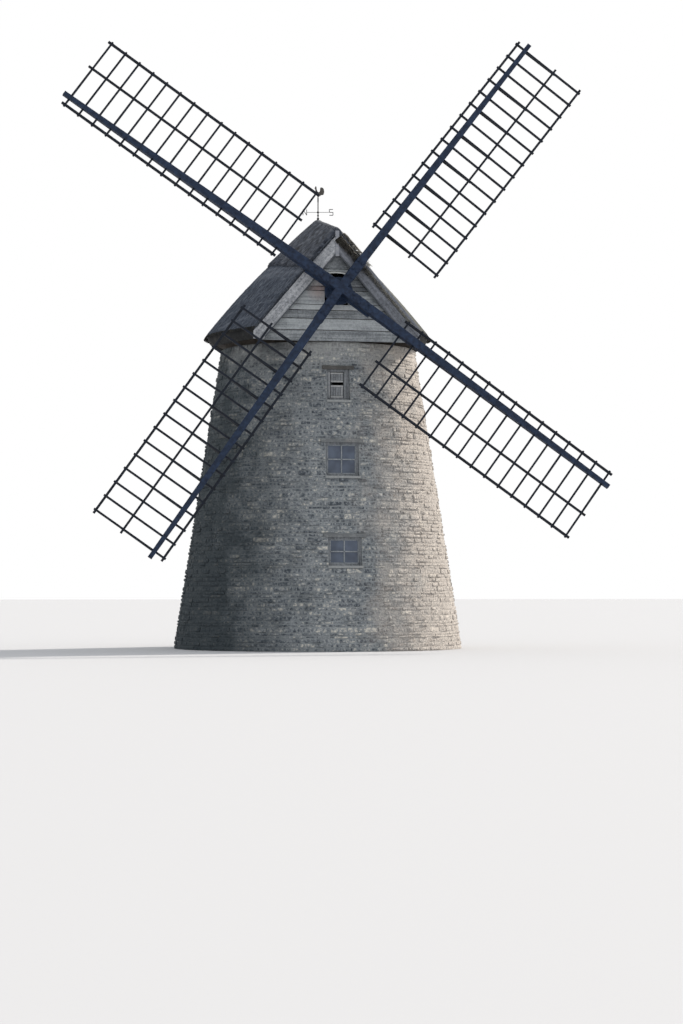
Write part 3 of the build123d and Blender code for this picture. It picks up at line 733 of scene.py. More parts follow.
# %% [markdown]
# ## The ridge
#
# A saddle of straw wraps the top and laps down each side, by 1.26 m at the axis and 0.96 m at the
# gable. It is made as the coat is, from its own profile: up the slope, 40 mm proud at its foot and
# 120 mm at its crown, round the peak in an arc, and back underneath.

# %% Ridge saddle
FOOT_THICKNESS, CROWN_THICKNESS, RIDGE_CROWN = 0.04, 0.12, 0.02
RIDGE_LAP, LAP_LOSS, WORN, WORN_BACK = 1.26, 0.30, 0.15, 3.0
RIDGE_RUNS = 400


def ridge_foot(run):
    """Share of the slope at which the ridge ends; on the right side the wind has shortened it by 150 mm."""
    distance = ahead(run)
    _, eave, apex, _ = section(distance)
    worn = WORN * np.clip((VERGE + WORN_BACK - run) / WORN_BACK, 0, 1)
    return 1 - (RIDGE_LAP - LAP_LOSS * distance / VERGE - worn) / (apex - eave)


def ridge_profile(run, steps):
    """Radius and height down the ridge's side: an arc to the roof's pitch, then the slope to the foot."""
    half, eave, apex, _ = section(ahead(run))
    pitch = np.arctan2(apex - eave, half)
    drop = verge_drop(run)
    low, crown = ridge_foot(run), 1 - RIDGE_CROWN / half
    shoulder_r, shoulder_z = on_slope(run, crown, CROWN_THICKNESS - drop)
    crown_radius = shoulder_r / np.sin(pitch)
    turn = pitch * steps[steps <= 1][None]
    arc = crown_radius * np.sin(turn), shoulder_z + crown_radius * (np.cos(turn) - np.cos(pitch))
    down = steps[steps > 1][None] - 1
    side = on_slope(run, crown + (low - crown) * down,
                    CROWN_THICKNESS + (FOOT_THICKNESS - CROWN_THICKNESS) * down - drop)
    toe = on_slope(run, low, -FOOT_THICKNESS / 2 - drop)
    core = 0 * half, apex - FOOT_THICKNESS - drop
    return tuple(np.concatenate([arc[k], side[k], toe[k], core[k]], 1) for k in (0, 1))


run = stations(RIDGE_RUNS)
steps = np.concatenate([np.linspace(0, 1, 10), np.linspace(1.05, 2, 20)])
radius, height = ridge_profile(run, steps)
rows, columns = radius.shape
down = np.concatenate([steps, [2.0, 0.0]])[None]
loose = 0.010 * ripple(run / 0.08, down * 1.2, 50) + 0.012 * ripple(run / 0.5, down * 1.5, 51)
loose = 0.7 * loose * np.clip(down * 2, 0, 1) * (np.arange(columns) < columns - 2)
foot = np.clip(down - 1.7, 0, 1) / 0.3 * (np.arange(columns) < columns - 1)
height = height + loose - foot * 0.05 * ripple(run / 0.12, 0 * down, 52)
ridge = piece("ridge_saddle", swept(run, radius + loose, height), tube_faces(rows, columns), "cap",
              ridge_straw, "thatch_ridge", smooth=True, tone=np.full(rows * columns, 0.48))
straw_uv(ridge, np.repeat(run * 0.35, columns, 1), np.repeat(down * -0.7, rows, 0))
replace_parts(ridge, "thatch_ridge")

# %% [markdown]
# ## Loose straws
#
# A thatched edge is never clean. Thousands of stalks lie on the coat, hang from the eave and stand
# off the ridge, most of all on its right side, where the wind has frayed it. A stalk is a thin
# three-sided needle: three points at its root, three at its middle and one at its tip. Its points
# are worked out with the same cap function, so that it follows the roof.

# %% Stalks on the cap
# Two edges of a stalk lie 6 mm deep, and the third stands 0.55 of its width high
STALK_POINTS, SINK, CREST = 7, 0.006, 0.55


def stalks(name, material, slot, root, tip, width, lift_middle, lift_tip, seed, tone_range):
    """Needles from root to tip, both given as (run, share), with the lift in metres at middle and tip."""
    dice = np.random.default_rng(seed)
    count = len(root[0])
    rings = []
    for part, lift, size in ((0.0, 0.0, 1.0), (0.55, lift_middle, 0.8), (1.0, lift_tip, 0.0)):
        run = root[0] + (tip[0] - root[0]) * part
        share = root[1] + (tip[1] - root[1]) * part
        shift = width * size / 2 / np.maximum(1 - share, 0.15)
        if size:
            rings += [cap_point(run - shift, share, lift - SINK),
                      cap_point(run + shift, share, lift - SINK),
                      cap_point(run, share, lift + width * CREST)]
        else:
            rings += [cap_point(run, share, lift)]
    tips = np.array([(3, 4, 6), (4, 5, 6), (5, 3, 6), (0, 2, 1)])
    faces = [repeat_faces(f, count, STALK_POINTS) for f in (grid_faces(2, 3), tips)]
    made = piece(name, np.stack(rings, 1), faces, "cap", material, slot,
                 tone=np.repeat(dice.uniform(*tone_range, count), STALK_POINTS))
    across = np.repeat(dice.uniform(0, 20, count), STALK_POINTS)
    along = np.tile([0.0, 0.0, 0.0, 0.2, 0.2, 0.2, 0.4], count)
    straw_uv(made, across, along + np.repeat(dice.uniform(0, 9, count), STALK_POINTS))


# Spread evenly over the slope, which is narrower towards the ridge: the shares follow a square root
dice = np.random.default_rng(60)
count = 9000
share = 1 - np.sqrt(dice.uniform(0.20 ** 2, 0.94 ** 2, count))
run = dice.uniform(0.03, EAVE_LENGTH - 0.03, count)
length = dice.uniform(0.18, 0.5, count) / SLOPE_LENGTH
stalks("coat_straws", coat_straw, "thatch", (run, share),
       (run + dice.normal(0, 0.03, count), np.maximum(share - length, 0.004)),
       dice.uniform(0.010, 0.022, count), dice.uniform(0.002, 0.010, count),
       dice.uniform(-0.002, 0.012, count), 61, (0.30, 0.66))

# Stalks hanging from the eave take the straw ends with painted shade
count = 5200
run = dice.uniform(0.02, EAVE_LENGTH - 0.02, count)
length = dice.uniform(0.01, 0.05, count) / SLOPE_LENGTH
stalks("eave_straws", shaded_straw_ends, "thatch", (run, np.full(count, 0.02)),
       (run + dice.normal(0, 0.01, count), -length), dice.uniform(0.008, 0.016, count),
       np.full(count, 0.004), dice.uniform(-0.012, 0.006, count), 62, (0.35, 0.75))

# %% [markdown]
# The frayed stalks leave the ridge's foot. On the right side of the gable end they are longer and
# stand off further.

# %% Frayed stalks of the ridge
count = 3600
run = dice.uniform(0.02, EAVE_LENGTH - 0.02, count)
ruffled = np.exp(-((run - 1.2) / 1.3) ** 2)
foot = ridge_foot(run)
start = foot + dice.uniform(0.02, 0.2, count)
reach = dice.uniform(0.02, 0.09, count) * (0.35 + 1.6 * ruffled)
stalks("ridge_straws", ridge_straw, "thatch_ridge", (run, np.minimum(start, 0.93)),
       (run + dice.normal(0, 0.05, count), np.minimum(foot - 0.4 * reach, 0.9)),
       dice.uniform(0.008, 0.016, count), FOOT_THICKNESS + dice.uniform(0.0, 0.02, count),
       FOOT_THICKNESS + dice.uniform(-0.04, 0.05, count) * (0.3 + 1.6 * ruffled), 63, (0.35, 0.9))

# %% [markdown]
# At the gable the coat's ends hang over the tops of the barge boards: by 50 mm on the left, and by
# up to 240 mm on the right, where the straw has slipped. They stop short of the strip at the apex.
# A run below zero puts a tip in front of the gable. The stalks on the right, and those that lie
# loose on the crown beside the gable, on the sunny side, are far paler: painted light against their shade.

# %% Straws over the gable
STRIP_SHARE = 0.955
for side, count, hang, crowding, kind in (("left", 1800, 0.05, 1.0, coat_straw),
                                          ("right", 4200, 0.24, 1.8, frayed_straw_painted_light)):
    share = 1 - dice.uniform(0, 0.98, count) ** crowding
    inside, outside = dice.uniform(0.02, 0.10, count), -dice.uniform(0.060, 0.085, count)
    if side == "left":
        inside, outside = EAVE_LENGTH - inside, EAVE_LENGTH - outside
    fall = hang * dice.uniform(0.3, 1.0, count) * np.clip(0.35 + share, 0, 1)
    share = np.clip(share, 0.03, STRIP_SHARE)
    stalks(f"{side}_verge_straws", kind, "thatch_ridge", (inside, share),
           (outside, share - dice.uniform(-0.004, 0.03, count)), dice.uniform(0.010, 0.022, count),
           dice.uniform(-0.05, 0.01, count), -fall, 64, (0.35, 0.9))

count = 420
run = 0.8 * dice.uniform(0.0, 1.0, count) ** 2.5
share = 0.975 - 0.26 * dice.uniform(0.0, 1.0, count) ** 1.5
stalks("crown_straws", frayed_straw_painted_light, "thatch_ridge", (run + 0.03, share),
       (np.maximum(run + dice.normal(0, 0.06, count), 0.0), share - dice.uniform(0.03, 0.09, count)),
       dice.uniform(0.006, 0.011, count), CROWN_THICKNESS + dice.uniform(0.0, 0.02, count),
       CROWN_THICKNESS + dice.uniform(-0.01, 0.05, count), 65, (0.1, 0.8))

# %% [markdown]
# ## Weathered boards
#
# Oak and elm boards left bare turn silver: the soft spring wood wears away and leaves the grain
# standing in lines a few millimetres apart. The boards differ in tone, with pale lichen, and with a
# rusty run beside the windshaft. Grain runs along a board, so the pattern is stretched along X, and
# for the barge boards it is turned to their pitch.

# %% Weathered wood
RUST_PLACE = (-0.48, -2.72, 9.42)
BARGE_PITCH = math.atan2(10.95 - 8.38, VERGE_HALF)
UPRIGHT_GRAIN = (22.0, 14.0, 1.2)


def silvered(name, dark, middle, pale, along=(0.7, 14.0, 26.0), pitch=0.0, rusty=False, lichen=0.0):
    """Silvered timber: grain lines 40 mm apart, coarse enough to show, and lichen 45 mm wide."""
    material = finish(name, 0.82, 0.3)
    place = places(material)
    if pitch:
        x, y, z = (coordinate(material, place, axis) for axis in "XYZ")
        parts = {"X": maths(material, "ABSOLUTE", x), "Y": y, "Z": z}
        mirrored = node(material, "ShaderNodeCombineXYZ", parts).outputs["Vector"]
        place = node(material, "ShaderNodeVectorRotate", {"Vector": mirrored, "Angle": -pitch},
                     rotation_type="Y_AXIS").outputs["Vector"]
    grain = noise(material, stretched(material, place, along), 1.0, 6.0, 0.68)
    total = maths(material, "MULTIPLY_ADD", grain, 1.7, tone_of(material))
    total = maths(material, "MULTIPLY_ADD", noise(material, place, 3.3, 3.0), 0.8, total)
    total = maths(material, "MULTIPLY_ADD", noise(material, place, 22.0, 5.0, 0.7), lichen, total)
    total = maths(material, "MULTIPLY_ADD", total, 0.5, -0.375 - lichen / 4, clamp=True)
    colour = ramp(material, total, [(0.05, dark), (0.45, middle), (0.95, pale)])
    if rusty:
        # A rusty run to the left of the windshaft, about 0.35 m across
        away = node(material, "ShaderNodeVectorMath", {0: place, 1: RUST_PLACE}, operation="DISTANCE")
        near = span(material, away.outputs["Value"], 0.34, 0.05)
        rust = maths(material, "MULTIPLY", near, grain, clamp=True)
        colour = blend(material, rust, colour, paint("#a98f88"))
    return complete(material, colour, grain, 0.006, 0.6)


gable_wood = silvered("silvered_elm", "#6b7075", "#afb5b9", "#d4d6d3", rusty=True, lichen=1.4)
barge_wood = silvered("silvered_barge_oak", "#70747a", "#b1b4b9", "#d2d1ce", pitch=BARGE_PITCH, lichen=2.6)
# Painted shade: a darker copy of the barge oak, for the right barge board and the battens
shaded_barge = silvered("barge_oak_painted_shade", "#4e5258", "#838790", "#adadac", pitch=BARGE_PITCH,
                           lichen=2.0)
shadowed_wood = silvered("shadowed_joinery", "#17191c", "#2e3134", "#46494d", UPRIGHT_GRAIN)
joinery_wood = silvered("silvered_joinery", "#555a5f", "#8b8f94", "#b9bab8", UPRIGHT_GRAIN, lichen=1.6)
inside_oak = silvered("sawn_oak", "#2e2a24", "#57504a", "#75695a", (1.5, 12.0, 12.0))

dress(["left_barge_board"], barge_wood)
dress(["hatch_frame", "window_frames", "door_frame"], joinery_wood)
# Painted shade: the panel behind the shutter is nearly black, so that its slot and the gaps between its
# boards read as shadow
dress(["hatch_shutter"], shadowed_wood)
dress(["floor_beams", "upper_floors", "curb_ring", "cap_ring", "cap_frame", "cap_rafters", "neck_beam"],
      inside_oak)
print("wood finishes made")

# %% [markdown]
# ## The boarded gable
#
# Horizontal weatherboards of unequal width close the front of the cap. Each leans, so that its foot
# stands 20 mm further out than its head, and the boards have shrunk, which leaves a dark gap of
# 15 mm under each. A board is a strip with four edges, each a line of stations along X: low and
# high, front and back. Its upper edge follows the roof's slope where that comes lower, and an arch
# over the windshaft where that is cut.

# %% Lapped boards
GABLE_FACE, BOARD, GAP, FIT = -2.70, 0.022, 0.015, 0.004
FOOT_FACE, HEAD_FACE = GABLE_FACE - 0.004, GABLE_FACE + 0.016
BOARD_BEDS = [8.085, 8.38, 8.68, 8.90, 9.05, 9.42, 9.53, 9.72, 9.99]
SHAFT_HALF, OPENING_FOOT, ARCH_SPRING, ARCH_CROWN = 0.31, 9.06, 9.78, 9.87
ARCH_TRIM, ARCH_BOARD_FOOT, ARCH_BOARD_HEAD = 0.043, 0.055, 9.975
TOP_HALF, TOP_FOOT, THINNEST = 0.34, 9.985, 0.004


def under_roof(x):
    """Height of the thatch's underside in the gable's plane at a distance across."""
    half_in, eave_in, apex_in = lining(*section(-GABLE_FACE)[:3])
    return eave_in + (apex_in - eave_in) * (1 - np.abs(x) / half_in)


def plank(x, low, high, foot_y, head_y, thick=BOARD):
    """Points of one board: at each station its low and high edge, in front and behind."""
    low = low + 0 * x
    high = np.maximum(high, low + THINNEST)
    front_low = np.stack([x, foot_y + 0 * x, low], -1)
    front_high = np.stack([x, head_y + 0 * x, high], -1)
    behind = np.array([0.0, thick, 0.0])
    return np.stack([front_low, front_high, front_high + behind, front_low + behind], 1)


def planks(name, boards, body, material, slot, tones):
    """One piece of many boards; every board is a closed strip."""
    points, faces = together([(board, tube_faces(len(board), 4)) for board in boards])
    return piece(name, points, faces, body, material, slot,
                 tone=np.repeat(tones, [4 * len(board) for board in boards]))


boards = []
dice = np.random.default_rng(70)
halves = np.linspace(2.6, 0, 50)
for low_z, high_z in zip(BOARD_BEDS, BOARD_BEDS[1:]):
    reach = float(np.interp(low_z, under_roof(halves), halves)) - 0.01
    spans = [(-reach, -SHAFT_HALF), (SHAFT_HALF, reach)] if high_z > OPENING_FOOT else [(-reach, reach)]
    for left, right in spans:
        x = np.linspace(left, right, 40)
        low = low_z + 0.004 * ripple(x / 0.35, 0 * x + len(boards), 71) + 0.002 * ripple(x / 0.08, 0 * x, 72)
        high = np.minimum(high_z - GAP, under_roof(x) - FIT)
        boards.append(plank(x, np.minimum(low, high - THINNEST), high, FOOT_FACE, HEAD_FACE))

# The arched piece over the shaft, its trim, paler than its neighbours, and the triangle at the top
x = np.linspace(-SHAFT_HALF, SHAFT_HALF, 25)
arch = ARCH_SPRING + (ARCH_CROWN - ARCH_SPRING) * np.sqrt(1 - (x / SHAFT_HALF) ** 2)
boards.append(plank(x, arch + ARCH_BOARD_FOOT, ARCH_BOARD_HEAD, GABLE_FACE - 0.006, GABLE_FACE + 0.004))
boards.append(plank(x, arch, arch + ARCH_TRIM, GABLE_FACE - 0.016, GABLE_FACE - 0.010))
x = np.linspace(-TOP_HALF, TOP_HALF, 21)
boards.append(plank(x, TOP_FOOT, under_roof(x) - FIT, GABLE_FACE - 0.016, GABLE_FACE - 0.004))
tones = np.concatenate([dice.uniform(-0.50, 0.50, len(boards) - 3), [0.0, 0.9, -0.25]])
gable = planks("gable_weatherboards", boards, "cap", gable_wood, "weathered_boards", tones)
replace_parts(gable, "gable_boards")

# %% Bars from boxes, and a bevel for edges


def bars(starts, ends, width, height, depth=(0.0, 1.0, 0.0)):
    """Square-edged bars between pairs of points: eight points each, height along depth, width across it."""
    starts, ends = np.asarray(starts, float), np.asarray(ends, float)
    line = (ends - starts) / np.linalg.norm(ends - starts, axis=1, keepdims=True)
    depth = np.tile(depth, (len(line), 1))
    side = np.cross(line, depth)
    points = np.stack([at + side * a * width / 2 + depth * b * height / 2 for at in (starts, ends)
                       for a, b in ((-1, -1), (1, -1), (1, 1), (-1, 1))], 1)
    return points, [repeat_faces(f, len(line), 8) for f in tube_faces(2, 4)]


def bevelled(made, width):
    """Round a joiner's piece's edges with one live bevel, the same in view and render."""
    edge = made.modifiers.new("arris", "BEVEL")
    edge.width = width
    edge.segments = 1
    edge.limit_method = "ANGLE"
    return made


# %% [markdown]
# The barge boards meet under a vertical strip, and a thin batten runs along the inner edge of each.
# The right board is a wider one: its outer edge lies 90 mm further out, from 0.9 m off the middle.

# %% Right barge board, apex strip and battens
BARGE_FACE, BARGE_THICK = -2.84, 0.039
BARGE_TOP, BARGE_WIDTH, BARGE_FOOT, BARGE_END = 10.91, 0.34, 8.10, 2.21
EXTRA_WIDTH, WIDER_FROM, WIDER_AT = 0.09, 0.4, 0.9
STRIP_HALF, STRIP_FOOT, STRIP_HEAD, STRIP_THICK = 0.05, 10.30, 10.97, 0.018
BATTEN_WIDTH, BATTEN_THICK, BATTEN_FOOT = 0.03, 0.012, 8.13

inner_top = BARGE_TOP - BARGE_WIDTH / math.cos(BARGE_PITCH)
x = np.concatenate([np.linspace(0.002, WIDER_AT, 13), np.linspace(WIDER_AT, BARGE_END, 20)[1:]])
fall = x * math.tan(BARGE_PITCH)
wider = EXTRA_WIDTH / math.cos(BARGE_PITCH) * np.clip((x - WIDER_FROM) / (WIDER_AT - WIDER_FROM), 0, 1)
board = plank(x, np.maximum(inner_top - fall, BARGE_FOOT), BARGE_TOP - fall + wider, BARGE_FACE, BARGE_FACE,
              BARGE_THICK)
wide_board = planks("right_barge_plank", [board], "cap", shaded_barge, "weathered_boards", [0.0])
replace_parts(bevelled(wide_board, 0.004), "right_barge_board")

strip_face, batten_face = BARGE_FACE - STRIP_THICK, BARGE_FACE - BATTEN_THICK
battens = [plank(np.array([-STRIP_HALF, STRIP_HALF]), STRIP_FOOT, STRIP_HEAD, strip_face, strip_face,
                 STRIP_THICK)]
for side in (-1, 1):
    # From left to right, which is upwards on the left batten and downwards on the right one
    z = np.linspace(BATTEN_FOOT, inner_top - 0.02, 12)[::-side]
    x = side * (inner_top - z) / math.tan(BARGE_PITCH)
    battens.append(plank(x, z - 0.004, z + BATTEN_WIDTH / math.cos(BARGE_PITCH), batten_face, batten_face,
                         BATTEN_THICK))
# Painted shade: the two battens take low tones, so that they read as dark lines of shade along the inner
# edges; the strip takes a pale tone
planks("barge_battens", battens, "cap", shaded_barge, "weathered_boards", [0.5, -0.7, -0.9])

# %% [markdown]
# ## Hatch, windows and door
#
# The hatch's shutter is framed: a wide stile on the right, rails above and below its slot,
# upright boards between them, and a gap all round the inner part. It stands on the face of the
# solid panel, which is nearly black with painted shade, so that the slot and the gaps read dark.
# The windows have one mullion and one transom of pale paint over glass whose blue-grey is painted:
# the sky's reflection over the dark of the room behind. The door at the rear is of plain planks
# on two long strap hinges.

# %% The hatch's shutter
SHUTTER_FACE = -2.6535
INNER_LEFT, INNER_RIGHT = -0.142, 0.186
RAILS = [(7.245, 0.040), (7.034, 0.044), (6.908, 0.050), (6.628, 0.056)]
STILES, STILE_FOOT, STILE_HEAD = [(-0.180, 0.046), (0.243, 0.082)], 6.60, 7.28
BOARD_SPANS, BOARD_GAP = [(6.662, 6.878), (7.062, 7.220)], 0.004

for number, (height, width) in enumerate(RAILS):
    rail = bars([(INNER_LEFT, SHUTTER_FACE, height)], [(INNER_RIGHT, SHUTTER_FACE, height)], width, 0.016)
    bevelled(piece(f"shutter_rail_{number + 1}", *rail, "tower", joinery_wood, "weathered_joinery",
                   tone=np.full(8, 0.8)), 0.003)

proud_face, flat_face = SHUTTER_FACE - 0.010, SHUTTER_FACE - 0.001
boards = [plank(np.array([x - w / 2, x + w / 2]), STILE_FOOT, STILE_HEAD, proud_face, proud_face, 0.018)
          for x, w in STILES]
edges = np.linspace(INNER_LEFT, INNER_RIGHT, 6)
boards += [plank(np.array([a + BOARD_GAP, b - BOARD_GAP]), foot, head, flat_face, flat_face, 0.009)
           for foot, head in BOARD_SPANS for a, b in zip(edges, edges[1:])]
bevelled(planks("shutter_boards", boards, "tower", joinery_wood, "weathered_joinery",
                [0.5, 0.1] + list(dice.uniform(0.0, 0.9, 10))), 0.003)

# %% Glazing bars and glass
FRAME_WIDTH, BARS_BEHIND, MULLION = 0.06, 0.045, 0.09
BAR_WIDTH, BAR_DEPTH, EDGE = 0.03, 0.046, 0.01

pale_paint = finish("weathered_pale_paint", 0.6)
worn = noise(pale_paint, places(pale_paint), 30.0, 4.0)
complete(pale_paint, ramp(pale_paint, worn, [(0.35, "#6a7178"), (0.6, "#8b9298")]))

starts, ends = [], []
for side, left, right, foot, head in (UPPER_WINDOW, LOWER_WINDOW, REAR_WINDOW):
    y = side * (wall_radius(head) - WINDOW_REVEAL - BARS_BEHIND)
    x0, x1, z0, z1 = left + FRAME_WIDTH, right - FRAME_WIDTH, foot + FRAME_WIDTH, head - FRAME_WIDTH
    starts += [(x, y, z0) for x in (MULLION, x0 + EDGE, x1 - EDGE)]
    ends += [(x, y, z1) for x in (MULLION, x0 + EDGE, x1 - EDGE)]
    starts += [(x0, y, z) for z in ((z0 + z1) / 2, z0 + EDGE, z1 - EDGE)]
    ends += [(x1, y, z) for z in ((z0 + z1) / 2, z0 + EDGE, z1 - EDGE)]
points, faces = bars(starts, ends, BAR_WIDTH, BAR_DEPTH)
bevelled(piece("glazing_bars", points, faces, "tower", pale_paint, "weathered_joinery"), 0.003)

# Painted reflection: the panes' opaque blue-grey stands for the sky reflected over the dark room behind
glass = finish("window_glass_painted_reflection", 0.08)
shader_of(glass).inputs["IOR"].default_value = 1.5
wavy = noise(glass, places(glass), 4.0, 1.0)
complete(glass, ramp(glass, wavy, [(0.35, "#374254"), (0.65, "#4a5669")]), wavy, 0.01, 0.3)
dress(["window_glass"], glass)

# %% [markdown]
# ## Iron and paint
#
# The cross and the windshaft are cast iron, painted blue-black and gone matt. The sails are timber
# in thick blue-black paint that has dulled in patches. The hinges and the weathercock are wrought
# iron.

# %% Paint and iron finishes


def dark_coat(name, dark, pale, scale, depth):
    """Paint on timber or iron: two close tones in noise of the given scale, with a bump of the same grain."""
    material = finish(name, 0.6, 0.2)
    grain = noise(material, places(material), scale, 5.0, 0.6)
    return complete(material, ramp(material, grain, [(0.32, dark), (0.68, pale)]), grain, depth, 0.5)


sail_paint = dark_coat("blue_black_sail_paint", "#131c2d", "#25344c", 9.0, 0.003)
# Painted shade: the lattice and its laths get a darker copy of the sail paint, nearly black, as bars seen
# against the light look
shaded_lattice_paint = dark_coat("lattice_paint_painted_shade", "#0a0f17", "#161e2b", 9.0, 0.003)
cast_iron = dark_coat("painted_cast_iron", "#142036", "#26374f", 24.0, 0.003)
wrought_iron = dark_coat("wrought_iron", "#0d0e10", "#1a1b1d", 60.0, 0.001)

dress([name for name in nodes if name.startswith("sail_lattice")], shaded_lattice_paint)
dress([name for name in nodes if name.startswith("sail_back")], sail_paint)
dress(["windshaft", "iron_cross", "shaft_bearings"], cast_iron)
dress(["vane_rod", "weathercock"], wrought_iron)
print("paint and iron on", sum(name.startswith("sail_") for name in nodes), "sail pieces")

# %% [markdown]
# ## Bolts of the sails
#
# Each sail back is bolted to its iron arm by three pairs of bolts. A bolt shows a square washer and
# a six-sided nut. They are turned from rings of points in the sail wheel's own frame, which leans
# back by the windshaft's tilt.

# %% Nuts and washers
TILT = math.radians(8)
BACK_ANGLES = [52.13, 144.9, 234.53, 323.45]
BOLT_PLACES, BOLT_SHIFT = [0.38, 0.60, 0.86], 0.065
BACK_FACE = 0.116


def on_wheel(points):
    """From the sail wheel's frame (x right, y up the wheel, z forward along the shaft) to the mill's."""
    x, y, z = np.moveaxis(points, -1, 0)
    return np.stack([x, HUB.y + y * math.sin(TILT) - z * math.cos(TILT),
                     HUB.z + y * math.cos(TILT) + z * math.sin(TILT)], -1)


def turned(sides, rings, turn=0.0):
    """A closed solid of regular rings, each (radius, height): grid of rings with a flat end on each."""
    a = turn + 2 * math.pi * np.arange(sides) / sides
    points = [np.stack([r * np.cos(a), r * np.sin(a), np.full(sides, z)], -1) for r, z in rings]
    return np.concatenate(points), tube_faces(len(rings), sides)


washer = turned(4, [(0.062, -0.004), (0.062, 0.008), (0.056, 0.011)], math.pi / 4)
nut = turned(6, [(0.034, 0.008), (0.034, 0.030), (0.028, 0.036)])
points, faces = together([(spun(shape + (reach, shift, BACK_FACE), math.radians(angle)), shape_faces)
                          for angle in BACK_ANGLES for reach in BOLT_PLACES
                          for shift in (-BOLT_SHIFT, BOLT_SHIFT) for shape, shape_faces in (washer, nut)])
piece("sail_bolts", on_wheel(points), faces, "sails", sail_paint, "black_iron")

# %% [markdown]
# ## Laths of the sails
#
# Three laths run the length of each lattice: one along the leading edge, the uplong and the hemlath.
# The construction draws them as thick as the bars; the real ones are stouter, and two or three coats
# of paint have rounded them. In the wheel's frame a sail lies along X, its broad side towards -Y, and
# its heel is turned by 3 degrees, which fades to nothing at the tip.

# %% Stout laths
LATTICE_ANGLES = [51.7, 144.3, 234.3, 323.4]
UPLONG_SIDES = [0.900, 0.900, 0.912, 1.005]
LEADING_SIDE, BROAD_SIDE = 0.325, 1.754
FIRST_BAR, LAST_BAR, HEEL_WEATHER = 1.957, 8.497, math.radians(3)
EDGE_LATH, EDGE_OVERRUN = 0.064, 0.100
UPLONG_LATH, UPLONG_OVERRUN = 0.058, 0.120


def lath(sail_angle, across, overrun):
    """Two ends of a lath, which runs on past the first and the last bar by overrun."""
    heel = np.array([FIRST_BAR, -across * math.cos(HEEL_WEATHER), -across * math.sin(HEEL_WEATHER)])
    tip = np.array([LAST_BAR, -across, 0.0])
    beyond = overrun * (tip - heel) / np.linalg.norm(tip - heel)
    return spun(np.array([heel - beyond, tip + beyond]), math.radians(sail_angle))


edge_laths = [lath(a, across, EDGE_OVERRUN) for a in LATTICE_ANGLES for across in (-LEADING_SIDE, BROAD_SIDE)]
uplongs = [lath(a, across, UPLONG_OVERRUN) for a, across in zip(LATTICE_ANGLES, UPLONG_SIDES)]
for label, laths, thickness in (("edge_laths", edge_laths, EDGE_LATH), ("uplongs", uplongs, UPLONG_LATH)):
    points, faces = bars(*np.swapaxes(laths, 0, 1), thickness, thickness, depth=(0.0, 0.0, 1.0))
    bevelled(piece(label, on_wheel(points), faces, "sails", shaded_lattice_paint, "painted_timber"), 0.006)

# %% [markdown]
# ## The weathercock's tail
#
# The cock is cut from sheet iron. Its tail is a full fan of feathers, nearly as tall as the body, so a
# scalloped oval fills the curve that the construction draws for it.

# %% Tail feathers
COCK_HEADING, COCK_FOOT, SHEET = math.radians(41), 12.289, 0.010
TAIL_MIDDLE, TAIL_HALF, FEATHERS, RIM_POINTS = np.array([0.178, 0.218]), np.array([0.090, 0.108]), 7, 56

turn = np.linspace(0, 2 * math.pi, RIM_POINTS, endpoint=False)
scallop = 1 - 0.05 * np.abs(np.sin(turn * FEATHERS / 2))
along, height = TAIL_MIDDLE[:, None] + TAIL_HALF[:, None] * scallop * np.array([np.cos(turn), np.sin(turn)])
tail = np.concatenate([np.stack([along, 0 * turn + face, COCK_FOOT + height], -1)
                       for face in (-SHEET / 2, SHEET / 2)])
piece("cock_tail", spun(tail, COCK_HEADING), [f[:, ::-1] for f in tube_faces(2, RIM_POINTS)], "vane",
      wrought_iron, "wrought_iron")

# %% [markdown]
# ## The weathercock's compass
#
# Four letters stand at the ends of the thin cross, each in the plane of its own arm. A letter is a
# few straight strokes of flat iron, each from one place to another in a box one wide and one high.

# %% Compass letters
LETTERS = {"N": ([(0, 0, 0, 1), (0, 1, 1, 0), (1, 0, 1, 1)], 90),
           "S": ([(0, 0, 1, 0), (1, 0, 1, 0.5), (1, 0.5, 0, 0.5), (0, 0.5, 0, 1), (0, 1, 1, 1)], 270),
           "E": ([(0, 0, 0, 1), (0, 0, 1, 0), (0, 0.5, 0.8, 0.5), (0, 1, 1, 1)], 0),
           "W": ([(0, 1, 0.25, 0), (0.25, 0, 0.5, 0.7), (0.5, 0.7, 0.75, 0), (0.75, 0, 1, 1)], 180)}
COMPASS_HEIGHT, COMPASS_REACH, COMPASS_TURN = 11.905, 0.36, -10.8
LETTER_WIDTH, LETTER_HEIGHT, STROKE_WIDTH, STROKE_THICK = 0.10, 0.16, 0.018, 0.008

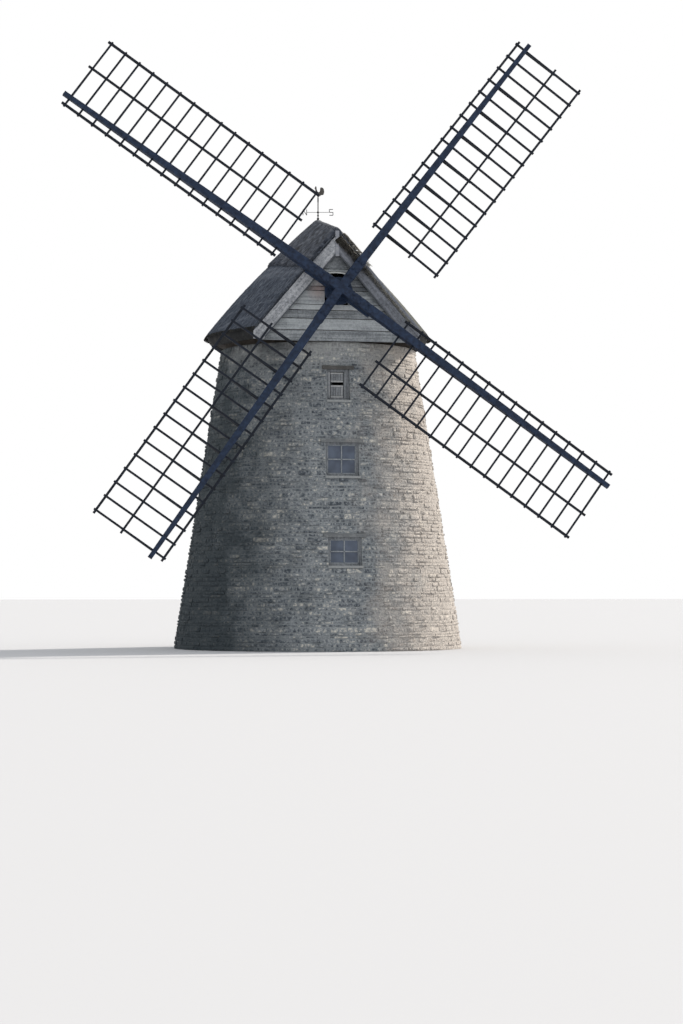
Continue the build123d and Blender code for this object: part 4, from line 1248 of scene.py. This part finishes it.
shapes = []
for letter, (strokes, quarter) in LETTERS.items():
    x0, z0, x1, z1 = np.array(strokes, float).T - 0.5
    starts, ends = (np.stack([x * LETTER_WIDTH, 0 * x, z * LETTER_HEIGHT], -1)
                    for x, z in ((x0, z0), (x1, z1)))
    shape, shape_faces = bars(starts, ends, STROKE_WIDTH, STROKE_THICK)
    # N stands to the photographer's left, so north is -X and east is away from the gable
    flip = 1 if letter in "SE" else -1
    placed = spun(shape * (flip, 1, 1) + (COMPASS_REACH, 0, COMPASS_HEIGHT),
                  math.radians(COMPASS_TURN + quarter + 90))
    shapes.append((placed, [f[:, ::flip] for f in shape_faces]))
piece("compass_letters", *together(shapes), "cap", wrought_iron, "wrought_iron")

# %% [markdown]
# ## The door at the rear
#
# Six upright planks with a gap between them, two strap hinges that taper to a point, and a ring.

# %% Door planks, hinges and ring
DOOR_FACE, DOOR_HALF, DOOR_FOOT, DOOR_HEAD = 3.3085, 0.3845, 0.1855, 1.8145
DOOR_THICK, PLANK_GAP, PLANKS = 0.045, 0.002, 6
HINGE_HEIGHTS, HINGE_END, HINGE_THICK = (0.45, 1.55), 0.28, 0.006
RING_PLACE, RING_RADIUS, WIRE, RING_TURNS, RING_SIDES = (0.30, 0.98), 0.045, 0.006, 24, 8

edges = np.linspace(-DOOR_HALF, DOOR_HALF, PLANKS + 1)
boards = [plank(np.array([a + PLANK_GAP, b - PLANK_GAP]), DOOR_FOOT, DOOR_HEAD, DOOR_FACE - DOOR_THICK,
                DOOR_FACE - DOOR_THICK, DOOR_THICK) for a, b in zip(edges, edges[1:])]
door = bevelled(planks("door_planks", boards, "tower", joinery_wood, "weathered_joinery",
                       dice.uniform(-0.15, 0.2, PLANKS)), 0.004)
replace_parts(door, "plank_door")

x, half = np.linspace(-DOOR_HALF + 0.005, HINGE_END, 12), np.linspace(0.026, 0.014, 12)
boards = [plank(x, z - half, z + half, DOOR_FACE, DOOR_FACE, HINGE_THICK) for z in HINGE_HEIGHTS]
planks("door_hinges", boards, "tower", wrought_iron, "wrought_iron", [0, 0])

turn = np.linspace(0, 2 * math.pi, RING_TURNS, endpoint=False)[:, None]
tube = np.linspace(0, 2 * math.pi, RING_SIDES, endpoint=False)[None]
radius = RING_RADIUS + WIRE * np.cos(tube)
ring = np.stack([RING_PLACE[0] + radius * np.cos(turn), DOOR_FACE + 0.008 + WIRE * np.sin(tube) + 0 * turn,
                 RING_PLACE[1] + radius * np.sin(turn)], -1)
ring_faces = grid_faces(RING_TURNS + 1, RING_SIDES) % (RING_TURNS * RING_SIDES)
piece("door_ring", ring, [ring_faces], "tower", wrought_iron, "wrought_iron", smooth=True)
